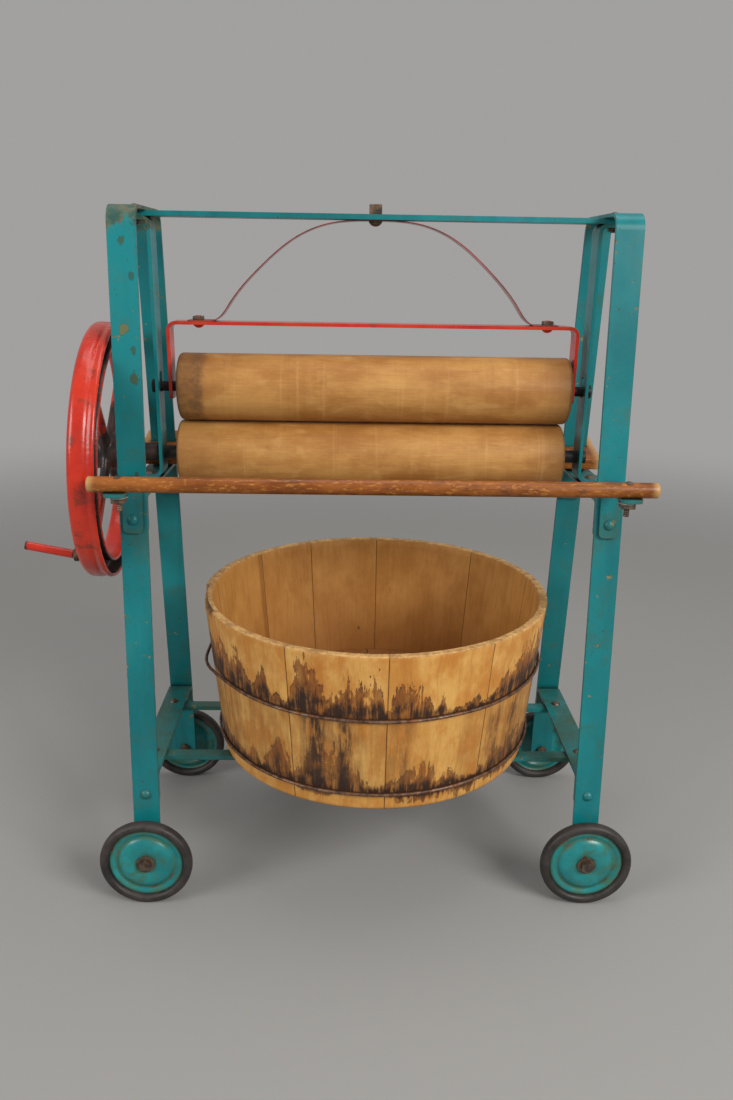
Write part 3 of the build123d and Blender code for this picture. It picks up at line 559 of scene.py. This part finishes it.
def floor_wood():
    """The tub's floor: boards across, darker than the staves."""
    m = Mat("tub_floor_wood")
    grain = m.noise(260.0, (1, 0.03, 1), rough=0.65)
    cloud = m.noise(16.0, detail=4)
    colour = m.mix(m.step(cloud, 0.3, 0.7), (0.32, 0.13, 0.03), (0.22, 0.08, 0.02))
    colour = m.mix(m.step(grain, 0.45, 0.7, 0, 0.5), colour, (0.14, 0.05, 0.014))
    x = m.axes()[0]
    seams = None
    for seam in FLOOR_SEAMS:
        line = m.step(m.abs(m.minus(x, seam * MM)), 0.9 * MM, 0.3 * MM)
        seams = m.most(seams, line) if seams else line
    colour = m.mix(m.mul(seams, 0.9), colour, (0.03, 0.012, 0.005))
    return m.finish(colour, 0.6, m.minus(m.mul(grain, 0.4), seams), 0.4)


# ---- mesh helpers ----
def new_object(name, verts, faces, material):
    mesh = bpy.data.meshes.new(name)
    mesh.from_pydata([tuple(c * MM for c in v) for v in verts], [], faces)
    mesh.update()
    mesh.validate()
    obj = bpy.data.objects.new(name, mesh)
    bpy.context.scene.collection.objects.link(obj)
    mesh.materials.append(material)
    mesh.polygons.foreach_set("use_smooth", [True] * len(mesh.polygons))
    return obj


def store(obj, name, values):
    """A float per vertex that materials can read."""
    data = obj.data.attributes.new(name, "FLOAT", "POINT").data
    data.foreach_set("value", np.asarray(values, np.float32))


def ripple(x, y, z):
    """Smooth noise, about -1 to 1."""
    return noise.noise(Vector((x, y, z)))


def polar(r, angle, z=0.0):
    return Vector((r * cos(angle), r * sin(angle), z))


def skin(rings, count, wrap=True, flip=False):
    """Quads from each ring of count points to the next, and from the last to the first if wrap."""
    quads = []
    for ring in range(rings if wrap else rings - 1):
        a, b = ring * count, (ring + 1) % rings * count
        for i in range(count):
            j = (i + 1) % count
            quads.append((a + i, a + j, b + j, b + i) if flip else (a + i, b + i, b + j, a + j))
    return quads


def joined(shapes):
    """One (vertices, faces) from several."""
    verts, faces = [], []
    for more_verts, more_faces in shapes:
        start = len(verts)
        verts += more_verts
        faces += [tuple(start + i for i in face) for face in more_faces]
    return verts, faces


def lathe(profile, frame_of, segments, wobble=None):
    """Closed profile of (radius, along) turned about frame_of's Z. wobble(angle, i) moves radii."""
    verts = []
    for s in range(segments):
        angle = 2 * pi * s / segments
        for i, (r, z) in enumerate(profile):
            r += wobble(angle, i) if wobble else 0
            verts.append(frame_of @ polar(r, angle, z))
    return verts, skin(segments, len(profile))


def ring_bar(path, radius, sides, wobble):
    """A round bar bent along path, a closed loop of Vectors that lies nearly flat."""
    verts = []
    for i, point in enumerate(path):
        forward = (path[(i + 1) % len(path)] - path[i - 1]).normalized()
        side = forward.cross(Vector((0, 0, 1))).normalized()
        up = side.cross(forward)
        r = radius * (1 + wobble * noise.noise(point * 0.09))
        for k in range(sides):
            angle = 2 * pi * k / sides
            verts.append(point + side * (r * cos(angle)) + up * (r * sin(angle)))
    return verts, skin(len(path), sides, flip=True)


def turned(axis_from, direction):
    """Matrix whose Z runs along direction from a point."""
    quat = Vector((0, 0, 1)).rotation_difference(Vector(direction))
    return Matrix.Translation(axis_from) @ quat.to_matrix().to_4x4()


def paint(names, material):
    for name in names:
        mesh = nodes[name].data
        mesh.materials.clear()
        mesh.materials.append(material)


def place(obj, body, slot, *replaced):
    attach(obj, body)
    if replaced:
        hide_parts(*replaced)
    return obj


# ---- materials of the CAD nodes that stay ----
sides = ("left", "right")
ends = ("front", "rear")
teal_frame = teal_paint("teal_frame", grime=0.30, chips=0.8, rust=0.5, worn_top=True)
teal_clean = teal_paint("teal_clean", grime=0.15, chips=0.3, rust=0.3)
teal_low = teal_paint("teal_low", grime=0.95, chips=1.3, rust=0.9)
teal_bracket = teal_paint("teal_bracket", grime=0.70, chips=1.4, rust=0.6)
red_strap = red_paint("red_strap", wear=0.25)
fastener = steel("fastener_steel")
bolt_end = steel("fastener_threaded", rust=0.45, thread=1.8)
bright = steel("fastener_washer", rust=0.1, dark=(0.18, 0.19, 0.17), light=(0.36, 0.38, 0.35),
               metallic=0.7)
black = steel("shaft_black", rust=0.12, dark=(0.008, 0.007, 0.007),
              light=(0.030, 0.024, 0.022), metallic=0.3)

paint([f"end_frame_{s}" for s in sides] + [f"guide_{s}" for s in sides], teal_frame)
paint(["top_bar"], teal_clean)
paint([f"lower_rail_{s}" for s in sides] + [f"cross_bar_{e}" for e in ends], teal_low)
paint([f"upper_rail_{s}" for s in sides], teal_bracket)
paint([f"{e}_bracket_{s}" for e in ends for s in sides], teal_bracket)
paint(["rail_bolts"], teal_bracket)
paint(["cross_bar_bolts", "frame_top_bolts", "guide_foot_bolts", "yoke_nuts", "spring_centre_nut",
       "spring_centre_bolt", "frame_top_nuts", "rail_nuts", "guide_foot_nuts", "cross_bar_nuts",
       "board_bolts", "board_nuts", "axle_bolts", "axle_nuts", "axle_washers", "axle_spacers",
       "crank_nut", "dowel_nuts"], fastener)
paint(["dowel_bolts"], bolt_end)
paint(["dowel_washers"], bright)
paint(["upper_shaft", "lower_shaft", "upper_shaft_collars"], black)
paint(["yoke", "yoke_bolts"], red_strap)


def spring_dark(m):
    """The spring's upper face and its edges have lost their paint."""
    up = m.axes(m.add("ShaderNodeNewGeometry").outputs["Normal"])[2]
    patchy = m.step(m.noise(70.0, rough=0.7), 0.38, 0.62)
    upper = m.most(m.step(up, 0.0, 0.5), m.mul(m.edges(1.2), 0.8))
    return m.mul(upper, m.plus(m.mul(patchy, 0.4), 0.5))


paint(["leaf_spring"], red_paint("red_spring", wear=0.8, dark_where=spring_dark,
                                 base=(0.36, 0.045, 0.035), deep=(0.20, 0.020, 0.016)))


def crank_dark(m):
    """The handle's outer end is worn dark."""
    worn_from, worn_over = HANDLE_WORN_X
    return m.step(m.axes()[0], worn_from * MM, worn_over * MM, 0, 0.9)


paint(["crank_handle"], red_paint("red_handle", wear=0.45, dark_where=crank_dark))
paint(["tub_bottom"], floor_wood())
paint(["drip_board"], varnished_wood("board_wood", BOARD_HALF))


# ---- handwheel: a casting, hollow towards the shaft ----
def rim_outline():
    """(radius, along) of the rim's section: convex outside, a bead, and a hollow to the stand."""
    inner, outer, half = RIM_INNER, WHEEL_R - 0.2, RIM_AXIAL / 2
    lip = (RIM_RADIAL - HOLLOW_W) / 2
    floor = half - HOLLOW_D
    corner, inset = 6.5, 0.2
    quarter = [pi / 2 * k / 7 for k in range(8)]
    points = [(inner + 1.4, half - 0.3), (inner + 0.4, half - 1.4),
              (inner + inset, 4), (inner + inset, -3)]
    # the rounded side away from the stand
    away = -half + corner + inset
    points += [(inner + inset + corner - corner * cos(a), away - corner * sin(a))
               for a in quarter]
    points += [(outer - corner + corner * sin(a), away - corner * cos(a))
               for a in quarter]
    # a groove and a bead round the outside
    points += [(outer, 0.5), (outer - 0.5, 2.6), (outer - 1.7, 4.6), (outer - 1.5, 5.8),
               (outer - 0.3, 7.4), (outer, 9.0), (outer - 0.2, 10.6), (outer - 1.2, 11.9),
               (outer - 2.6, half - 0.2)]
    # the hollow
    points += [(outer - lip + 0.4, half - 1.2), (outer - lip, half - 3), (outer - lip, floor + 3),
               (outer - lip - 1, floor + 0.8), (outer - lip - 3, floor)]
    points += [(inner + lip + 3, floor), (inner + lip + 1, floor + 0.8), (inner + lip, floor + 3),
               (inner + lip, half - 3), (inner + lip - 0.6, half - 1.0)]
    return points


def hub_outline():
    """(radius, along) of the hub and of the boss that reaches the left guide."""
    boss_end = GUIDE_FACE_X - WHEEL_X
    return [(0.01, -15), (HUB_R - 3, -15), (HUB_R - 0.8, -14.2), (HUB_R, -12), (HUB_R + 0.4, 0),
            (HUB_R, 12), (HUB_R - 0.8, 14.2), (HUB_R - 3, 15), (9.6, 16), (8.8, 18),
            (8.8, boss_end - 0.8), (8.2, boss_end), (0.01, boss_end)]


def spoke(canted, degrees):
    """An oval bar from the hub into the rim, flared at both ends."""
    steps, around = 24, 20
    thick, wide = 4.4, 6.6
    root, tip = 7, RIM_INNER + 2
    turn = canted @ Matrix.Rotation(radians(degrees), 4, "X")
    verts = []
    for step in range(steps + 1):
        r = root + step / steps * (tip - root)
        flare = 3.2 * max(0.0, 1 - (r - HUB_R) / 14) ** 2 + 2.6 * max(0.0, (r - 84) / 22) ** 2
        for k in range(around):
            angle = 2 * pi * k / around
            verts.append(turn @ Vector((thick * cos(angle) * (1 + 0.05 * flare),
                                        (wide + flare) * sin(angle), r)))
    last = steps * around
    caps = [tuple(range(around))[::-1], tuple(last + k for k in range(around))]
    return verts, skin(steps + 1, around, wrap=False, flip=True) + caps


def fuse(obj):
    """Turn overlapping shells into one closed skin with softened inner corners."""
    remesh = obj.modifiers.new("remesh", "REMESH")
    remesh.mode = "VOXEL"
    remesh.voxel_size = 1.1 * MM
    remesh.use_smooth_shade = True
    smooth = obj.modifiers.new("smooth", "SMOOTH")
    smooth.iterations = 3
    smooth.factor = 0.5
    depsgraph = bpy.context.evaluated_depsgraph_get()
    mesh = bpy.data.meshes.new_from_object(obj.evaluated_get(depsgraph))
    obj.modifiers.clear()
    obj.data = mesh


def iron_and_shade_at(point):
    """How dark the casting is: the hollow, the hub and the spokes' roots are dark, partly as dirty
    bare iron and partly as painted shade.
    """
    r = math.hypot(point.y, point.z)
    if r < RIM_INNER - 1:
        return min(1.0, max(0.30, 1.25 - (r - HUB_R) / 45))
    deep = point.x > RIM_AXIAL / 2 - HOLLOW_D - 1
    return float(deep and RIM_INNER + 3.3 < r < WHEEL_R - 3.6)


def handwheel():
    """Rim, spokes, hub and boss of one casting, canted on a straight hub."""
    centre = Matrix.Translation((WHEEL_X, 0, LOWER_Z))
    canted = centre @ CANT.to_4x4()
    along_x = turned((0, 0, 0), (1, 0, 0))
    shapes = [lathe(rim_outline(), canted @ along_x, 200)]
    shapes += [spoke(canted, 45 + 90 * k) for k in range(4)]
    shapes.append(lathe(hub_outline(), centre @ along_x, 64))
    obj = new_object("handwheel_cast", *joined(shapes), red_wheel)
    fuse(obj)
    to_wheel = canted.inverted()
    store(obj, "iron_and_shade", [iron_and_shade_at(to_wheel @ (v.co / MM)) for v in obj.data.vertices])
    return place(obj, "drive", "red_paint", "handwheel")


def wheel_iron_and_shade(m):
    """Where the casting is dark, as bare iron and as painted shade, with a ragged edge."""
    ragged = m.step(m.noise(60.0, rough=0.7), 0.3, 0.7, -0.25, 0.25)
    return m.step(m.plus(m.attribute("iron_and_shade"), ragged), 0.45, 0.70)


red_wheel = red_paint("red_wheel", wear=0.5, dark_where=wheel_iron_and_shade)
handwheel()


# ---- rollers and dowel ----
def end_rounded(radius, half, corner, bore):
    """Closed lathe profile of a bar from -half to half, with rounded ends and a bore."""
    steps = 60
    quarter = [pi / 2 * k / 6 for k in range(7)]
    arc_r, arc_z = radius - corner, half - corner
    profile = [(bore, -half)]
    profile += [(arc_r + corner * sin(a), -arc_z - corner * cos(a)) for a in quarter]
    profile += [(radius, -arc_z + 2 * arc_z * k / steps) for k in range(1, steps)]
    profile += [(arc_r + corner * sin(a), arc_z + corner * cos(a))
                for a in reversed(quarter)]
    profile.append((bore, half))
    return profile


def roller(name, z, shift, body, seed, bore, material):
    """A turned roller, worn by up to an eighth of a millimetre."""
    profile = end_rounded(ROLLER_R - 0.05, ROLLER_HALF, ROLLER_ROUND, bore)

    def worn(angle, i):
        return -0.12 * abs(ripple(i * 0.13 + seed, cos(angle), sin(angle)))

    verts, faces = lathe(profile, turned((shift, 0, z), (1, 0, 0)), 144, worn)
    return place(new_object(f"{name}_turned", verts, faces, material), body, "roller_wood", name)


roller("upper_roller", UPPER_Z, shift=2.0, body="upper_roller", seed=3.0, bore=4.8,
       material=roller_wood("upper_roller_wood", 0.0, stain=(-159.0, 7.0)))
roller("lower_roller", LOWER_Z, shift=-0.6, body="drive", seed=11.0, bore=6.4,
       material=roller_wood("lower_roller_wood", 0.53))

verts, faces = lathe(end_rounded(DOWEL_R - 0.02, DOWEL_HALF, 1.8, 0.01),
                     turned((0, DOWEL_Y, DOWEL_Z), (1, 0, 0)), 48)
place(new_object("front_dowel_turned", verts, faces, varnished_wood("dowel_wood", DOWEL_HALF)),
      "stand", "varnished_wood", "front_dowel")


# ---- road wheels ----
# (radius, height) of the pressed disc's outer face: hub, dome, groove and bead
DISC_FACE = [
    (4.0, 3.2), (9.4, 3.2), (10.6, 3.5), (13, 4.2), (16, 4.7), (19, 4.85), (22, 4.5), (24.5, 3.7),
    (26.6, 2.4), (28, 1.2), (29.2, 0.7), (30.6, 0.8), (31.8, 1.5), (33.2, 2.2), (34.6, 2.4),
    (35.8, 2.1), (36.8, 1.3), (37.6, 0.9),
]
DISC_SHEET = 1.7
DISC_SEGMENTS = 112
TYRE_HALF_W = 5.95
WHEEL_TURNS = {("front", "left"): 0.4, ("front", "right"): 2.1, ("rear", "left"): 3.3,
               ("rear", "right"): 5.0}
disc_material = disc_paint()
tyre_material = tyre_rubber()


def disc_outline():
    """The disc's face with a point between each two, its back, and the sleeve on the bolt."""
    front = []
    for (r, h), (next_r, next_h) in zip(DISC_FACE, DISC_FACE[1:]):
        front += [(r, h), ((r + next_r) / 2, (h + next_h) / 2)]
    back = [(r, h - DISC_SHEET) for r, h in reversed(DISC_FACE) if r > 8.6]
    sleeve = [(8.0, 0.4), (8.0, -5.6), (7.6, -6.0), (3.3, -6.0)]
    return front + [DISC_FACE[-1]] + back + sleeve


def tyre_outline():
    """The tyre's section, a circle pressed towards a square."""
    middle = (TYRE_R + TYRE_IN_R - 0.8) / 2
    section = []
    for k in range(28):
        angle = 2 * pi * k / 28
        c, s = cos(angle), sin(angle)
        section.append((middle + (TYRE_R - middle) * math.copysign(abs(c) ** 0.85, c),
                        TYRE_HALF_W * math.copysign(abs(s) ** 0.85, s)))
    return section


def road_wheel(end, side):
    """One wheel's disc and tyre; each of the four is turned differently."""
    front_or_back = -1 if end == "front" else 1
    x = FRAME_X * (-1 if side == "left" else 1)
    outward = turned((x, AXLE_Y * front_or_back, TYRE_R), (0, front_or_back, 0))
    wheel = outward @ Matrix.Rotation(WHEEL_TURNS[end, side], 4, "Z")
    body = f"wheel_{end}_{side}"
    profile = disc_outline()
    verts, faces = lathe(profile, wheel, DISC_SEGMENTS)
    disc = new_object(f"disc_{end}_{side}", verts, faces, disc_material)
    store(disc, "ring", [min(1.0, r / TYRE_IN_R) for r, _h in profile] * DISC_SEGMENTS)
    place(disc, body, "teal_paint", f"wheel_disc_{end}_{side}")
    verts, faces = lathe(tyre_outline(), wheel, 128)
    tyre = new_object(f"tyre_round_{end}_{side}", verts, faces, tyre_material)
    place(tyre, body, "tyre_rubber", f"tyre_{end}_{side}")


for end in ends:
    for side in sides:
        road_wheel(end, side)


# ---- tub ----
# how far the stains reach from the hoops, as {degrees round the tub: millimetres}
RISE_UPPER = {
    150: 24, 165: 40, 180: 30, 195: 38, 203: 28, 208: 40, 211: 46, 214: 26, 218: 40, 221: 50,
    224: 22, 228: 13, 231: 30, 232.5: 42, 235: 15, 238: 12, 241: 8, 243: 26, 245: 50, 247: 60,
    250: 46, 252: 38, 254: 22, 257: 26, 259: 36, 260.8: 50, 262: 30, 264: 34, 266: 28,
    268.5: 45, 270: 40, 272: 12, 274: 20, 275.4: 34, 278.7: 39, 282: 34, 285.4: 22, 287: 9,
    289.6: 27, 291: 9, 295: 7, 298.8: 10, 302: 13, 305: 7, 307: 10, 309: 16, 315: 30, 322: 43,
    329: 50, 336: 46, 345: 26, 0: 12, 20: 34, 45: 16, 70: 42, 90: 22, 110: 50, 130: 16,
}
RISE_LOWER = {
    150: 20, 180: 30, 200: 25, 212: 14, 220: 10, 224.5: 26, 228: 9, 233: 32, 238: 46, 241: 14,
    244: 20, 250: 56, 254: 38, 258: 60, 262: 30, 266: 13, 272: 11, 277: 18, 282: 28, 287.5: 26,
    290: 11, 293.7: 24, 298: 9, 305: 8, 312: 22, 320: 28, 330: 30, 345: 18, 10: 30, 40: 12,
    80: 34, 110: 18, 130: 30,
}
DRIP = {
    150: 6, 200: 2, 230: 4, 240: 2, 245: 7, 250: 8, 256: 5, 262: 3, 272: 1, 276: 10, 290: 13,
    304: 14, 306: 6, 315: 11, 330: 8, 0: 3, 60: 8, 110: 4,
}
# how smeared the wall between the hoops is, 0 to 1
SMEAR = {
    150: 0.3, 180: 0.5, 200: 0.35, 212: 0.55, 222: 0.35, 235: 0.35, 242: 0.25, 244: 0.35,
    248: 0.8, 251: 1.0, 254: 0.5, 257: 0.5, 259: 0.95, 262: 0.7, 266: 0.3, 272: 0.3, 275: 0.45,
    279: 0.6, 282: 0.12, 290: 0.04, 296: 0.08, 299: 0.3, 305: 0.2, 308: 0.5, 312: 0.75,
    316: 0.35, 321: 0.8, 328: 0.45, 340: 0.6, 0: 0.2, 30: 0.7, 60: 0.15, 95: 0.6, 120: 0.2,
}
STAINS = {"rise_upper": RISE_UPPER, "rise_lower": RISE_LOWER, "smear": SMEAR, "drip": DRIP}
# where the rim is broken, in degrees, and the height under the rim over which wear fades
CHIP_FROM, CHIP_TO = 178.0, 204.6
RIM_WORN = 12.0


def profile_at(table, degrees):
    keys = sorted(table)
    return np.interp(degrees % 360, keys, [table[k] for k in keys], period=360)


def tub_radius(height):
    return TUB_BOTTOM_R + height * (TUB_TOP_R - TUB_BOTTOM_R) / TUB_H


def tub_point(radius, degrees, height):
    """The point at this radius and angle round the tub, at a height over its foot."""
    return TUB_FOOT + polar(radius, radians(degrees), height)


def stave_section():
    """(depth, height) round a stave's upright section, up the outside and down the inside."""
    outer_rows, inner_rows = 56, 22
    low, high = 0.9, TUB_H - 1.1
    section = [(0.0, h) for h in np.linspace(low, high, outer_rows)]
    section += [(0.35, TUB_H - 0.35), (1.2, TUB_H), (2.6, TUB_H), (4.0, TUB_H), (5.4, TUB_H),
                (6.8, TUB_H), (7.65, TUB_H - 0.35)]
    section += [(STAVE_T, h) for h in np.linspace(high, low, inner_rows)]
    section += [(7.4, 0.25), (6.2, 0.0), (4.0, 0.0), (1.8, 0.0), (0.6, 0.25)]
    return section


def stave_angles(start, stop, gap):
    """Angles across a stave, close together at its rounded arrises."""
    arris = [0, 0.12, 0.3, 0.6]
    columns = max(8, int((stop - start) / 0.9))
    return ([start + gap + t for t in arris]
            + [start + t for t in np.linspace(1.8, stop - start - 1.8, columns)]
            + [stop - gap - t for t in reversed(arris)])


def break_depth(degrees, high):
    """How deep the rim is broken away at this place, or 0."""
    if not CHIP_FROM < degrees < CHIP_TO:
        return 0.0
    low = TUB_H - 9 - 4.5 * ripple(degrees * 0.45, 2.0, 0)
    low += 9 * max(0.0, 1 - (degrees - CHIP_FROM) / 8)
    return 3.6 + 0.9 * ripple(degrees * 0.8, 0, 5.0) if high > low else 0.0


def stave(index, start, stop, section, record):
    """One stave between two angles; adds each vertex's values to record."""
    tone = 0.5 + 0.5 * ripple(index * 3.7, 1.3, 0.2) * 1.6
    drop = 0.5 * abs(ripple(index * 2.1, 7.7, 0.4))
    gap = math.degrees(STAVE_GAP / TUB_TOP_R)
    angles = stave_angles(start, stop, gap)
    verts = []
    for degrees in angles:
        edge = min(degrees - start, stop - degrees) - gap
        rounding = 0.45 * max(0.0, 1 - edge / 0.5) ** 2
        wear = 0.5 * abs(ripple(degrees * 0.07, 3.1, 0))
        wear += 0.35 * abs(ripple(degrees * 0.6, 9.1, 0))
        for depth, high in section:
            worn = (wear + drop + rounding) * max(0.0, high - TUB_H + RIM_WORN) / RIM_WORN
            inset = depth
            if depth == 0:
                inset += rounding + 0.22 * abs(ripple(degrees * 0.15, high * 0.012, index))
            deep = break_depth(degrees, high)
            broken = depth < deep
            if broken:
                inset = max(inset, deep + 0.5 * ripple(degrees * 1.7, high * 0.5, 8.0))
            verts.append(tub_point(tub_radius(high) - inset, degrees, high - worn))
            record["around"].append(radians(degrees) * ARC_R)
            record["high"].append(high)
            record["side"].append(depth > 7.0)
            record["tone"].append(tone)
            record["broken"].append(broken)
            record["joint"].append(radians(edge) * TUB_BOTTOM_R)
            record["wide_joint"].append(max(0.0, 1 - abs(degrees - WIDE_JOINT) / 1.5))
    count = len(section)
    last = (len(angles) - 1) * count
    caps = [tuple(range(count)), tuple(last + i for i in reversed(range(count)))]
    return verts, skin(len(angles), count, wrap=False) + caps


def stave_wall():
    """Eleven separate staves with rounded arrises, a worn rim and one broken edge."""
    keys = ("around", "high", "side", "tone", "broken", "joint", "wide_joint")
    record = {key: [] for key in keys}
    section = stave_section()
    stops = STAVE_JOINTS[1:] + [STAVE_JOINTS[0] + 360]
    staves = [stave(index, start, stop, section, record)
              for index, (start, stop) in enumerate(zip(STAVE_JOINTS, stops))]
    obj = new_object("tub_wall", *joined(staves), tub_wood())
    for key, values in record.items():
        store(obj, key, values)
    degrees = np.degrees(np.asarray(record["around"]) / ARC_R)
    for key, table in STAINS.items():
        store(obj, key, profile_at(table, degrees))
    return place(obj, "tub", "tub_wood", "tub_staves")


def hoop(name, height, loose, seed):
    """Drawn wire ring that stands off the wall where it is loose: (angle, width, distance)."""
    steps = 288
    at, width, distance = loose
    path = []
    for k in range(steps):
        degrees = 360 * k / steps
        angle = radians(degrees)
        away = (degrees - at + 180) % 360 - 180
        r = tub_radius(height) + HOOP_R + 0.15 + distance * math.exp(-(away / width) ** 2)
        r += 0.18 * abs(ripple(cos(k / 23) * 4, sin(k / 23) * 4, seed))
        z = height + 0.5 * ripple(cos(angle) * 3, sin(angle) * 3, seed + 4)
        path.append(tub_point(r, degrees, z))
    verts, faces = ring_bar(path, HOOP_R - 0.05, 14, wobble=0.05)
    return place(new_object(f"{name}_wire", verts, faces, wire), "tub", "hoop_wire", name)


wire = steel("hoop_wire", rust=0.75, dark=(0.055, 0.028, 0.020), light=(0.20, 0.12, 0.08),
             metallic=0.45)
stave_wall()
hoop("tub_hoop_upper", HOOP_UPPER, loose=(197.0, 11.0, 5.5), seed=1.0)
hoop("tub_hoop_lower", HOOP_LOWER, loose=(30.0, 20.0, 0.6), seed=2.0)


# ---- stage, light and camera ----
def stage_floor():
    """A round floor that fades out towards its edge."""
    size = 3000.0
    ring_count, spokes = 40, 96
    verts = [(0, 0, 0)]
    for ring in range(1, ring_count + 1):
        r = size * (ring / ring_count) ** 1.5
        verts += [polar(r, 2 * pi * k / spokes) for k in range(spokes)]
    faces = [(0, 1 + k, 1 + (k + 1) % spokes) for k in range(spokes)]
    faces += [tuple(1 + i for i in quad) for quad in skin(ring_count, spokes, wrap=False)]
    m = Mat("stage_floor", Specular_IOR_Level=0.1, Roughness=0.9)
    m.shader.inputs["Base Color"].default_value = (0.31, 0.305, 0.295, 1)
    x, y = m.axes()[0], m.axes()[1]
    away = m.math("SQRT", m.plus(m.mul(x, x), m.mul(y, y)))
    m.put(m.shader.inputs["Alpha"], m.step(away, 2.6, 1.0))
    new_object("stage_floor", verts, faces, m.material)


def area_light(name, at, target, size, power, colour=(1, 1, 1)):
    data = bpy.data.lights.new(name, "AREA")
    data.shape = "RECTANGLE"
    data.size, data.size_y = size
    data.energy = power
    data.color = colour
    obj = bpy.data.objects.new(name, data)
    obj.location = at
    obj.rotation_euler = (Vector(target) - Vector(at)).to_track_quat("-Z", "Y").to_euler()
    bpy.context.scene.collection.objects.link(obj)


def studio():
    """Even grey surroundings, a key light from the right and two weaker ones."""
    world = bpy.data.worlds.new("studio")
    bpy.context.scene.world = world
    world.use_nodes = True
    background = world.node_tree.nodes["Background"].inputs
    background["Color"].default_value = (0.36, 0.355, 0.35, 1)
    background["Strength"].default_value = 1.0
    area_light("key", (1.4, -1.5, 1.5), (0, 0, 0.35), (1.1, 0.9), 44, (1.0, 0.985, 0.96))
    area_light("fill", (-1.7, -1.1, 1.2), (0, 0, 0.35), (1.0, 1.0), 20)
    area_light("top", (0.1, 0.1, 2.0), (0, 0, 0.3), (1.2, 1.0), 9)


# the camera, in metres, degrees and millimetres of its sensor
CAMERA_AT = (-0.02188, -0.87478, 0.61857)
CAMERA_PITCH, CAMERA_YAW, CAMERA_ROLL = 17.79, 1.22, 0.96
LENS, SENSOR_HEIGHT = 29.22545, 36.0


def camera():
    data = bpy.data.cameras.new("camera")
    data.sensor_fit = "VERTICAL"
    data.sensor_height = SENSOR_HEIGHT
    data.lens = LENS
    data.clip_start = 0.01
    pitch, yaw, roll = map(radians, (CAMERA_PITCH, CAMERA_YAW, CAMERA_ROLL))
    forward = Vector((sin(yaw) * cos(pitch), cos(yaw) * cos(pitch),
                      -sin(pitch)))
    right = Vector((cos(yaw), -sin(yaw), 0))
    up = right.cross(forward)
    across = right * cos(roll) + up * sin(roll)
    upward = up * cos(roll) - right * sin(roll)
    obj = bpy.data.objects.new("camera", data)
    rotation = Matrix((across, upward, -forward)).transposed().to_4x4()
    obj.matrix_world = Matrix.Translation(CAMERA_AT) @ rotation
    bpy.context.scene.collection.objects.link(obj)
    bpy.context.scene.camera = obj


stage_floor()
studio()
camera()
bpy.context.scene.view_settings.view_transform = "Standard"
bpy.context.scene.view_settings.look = "None"
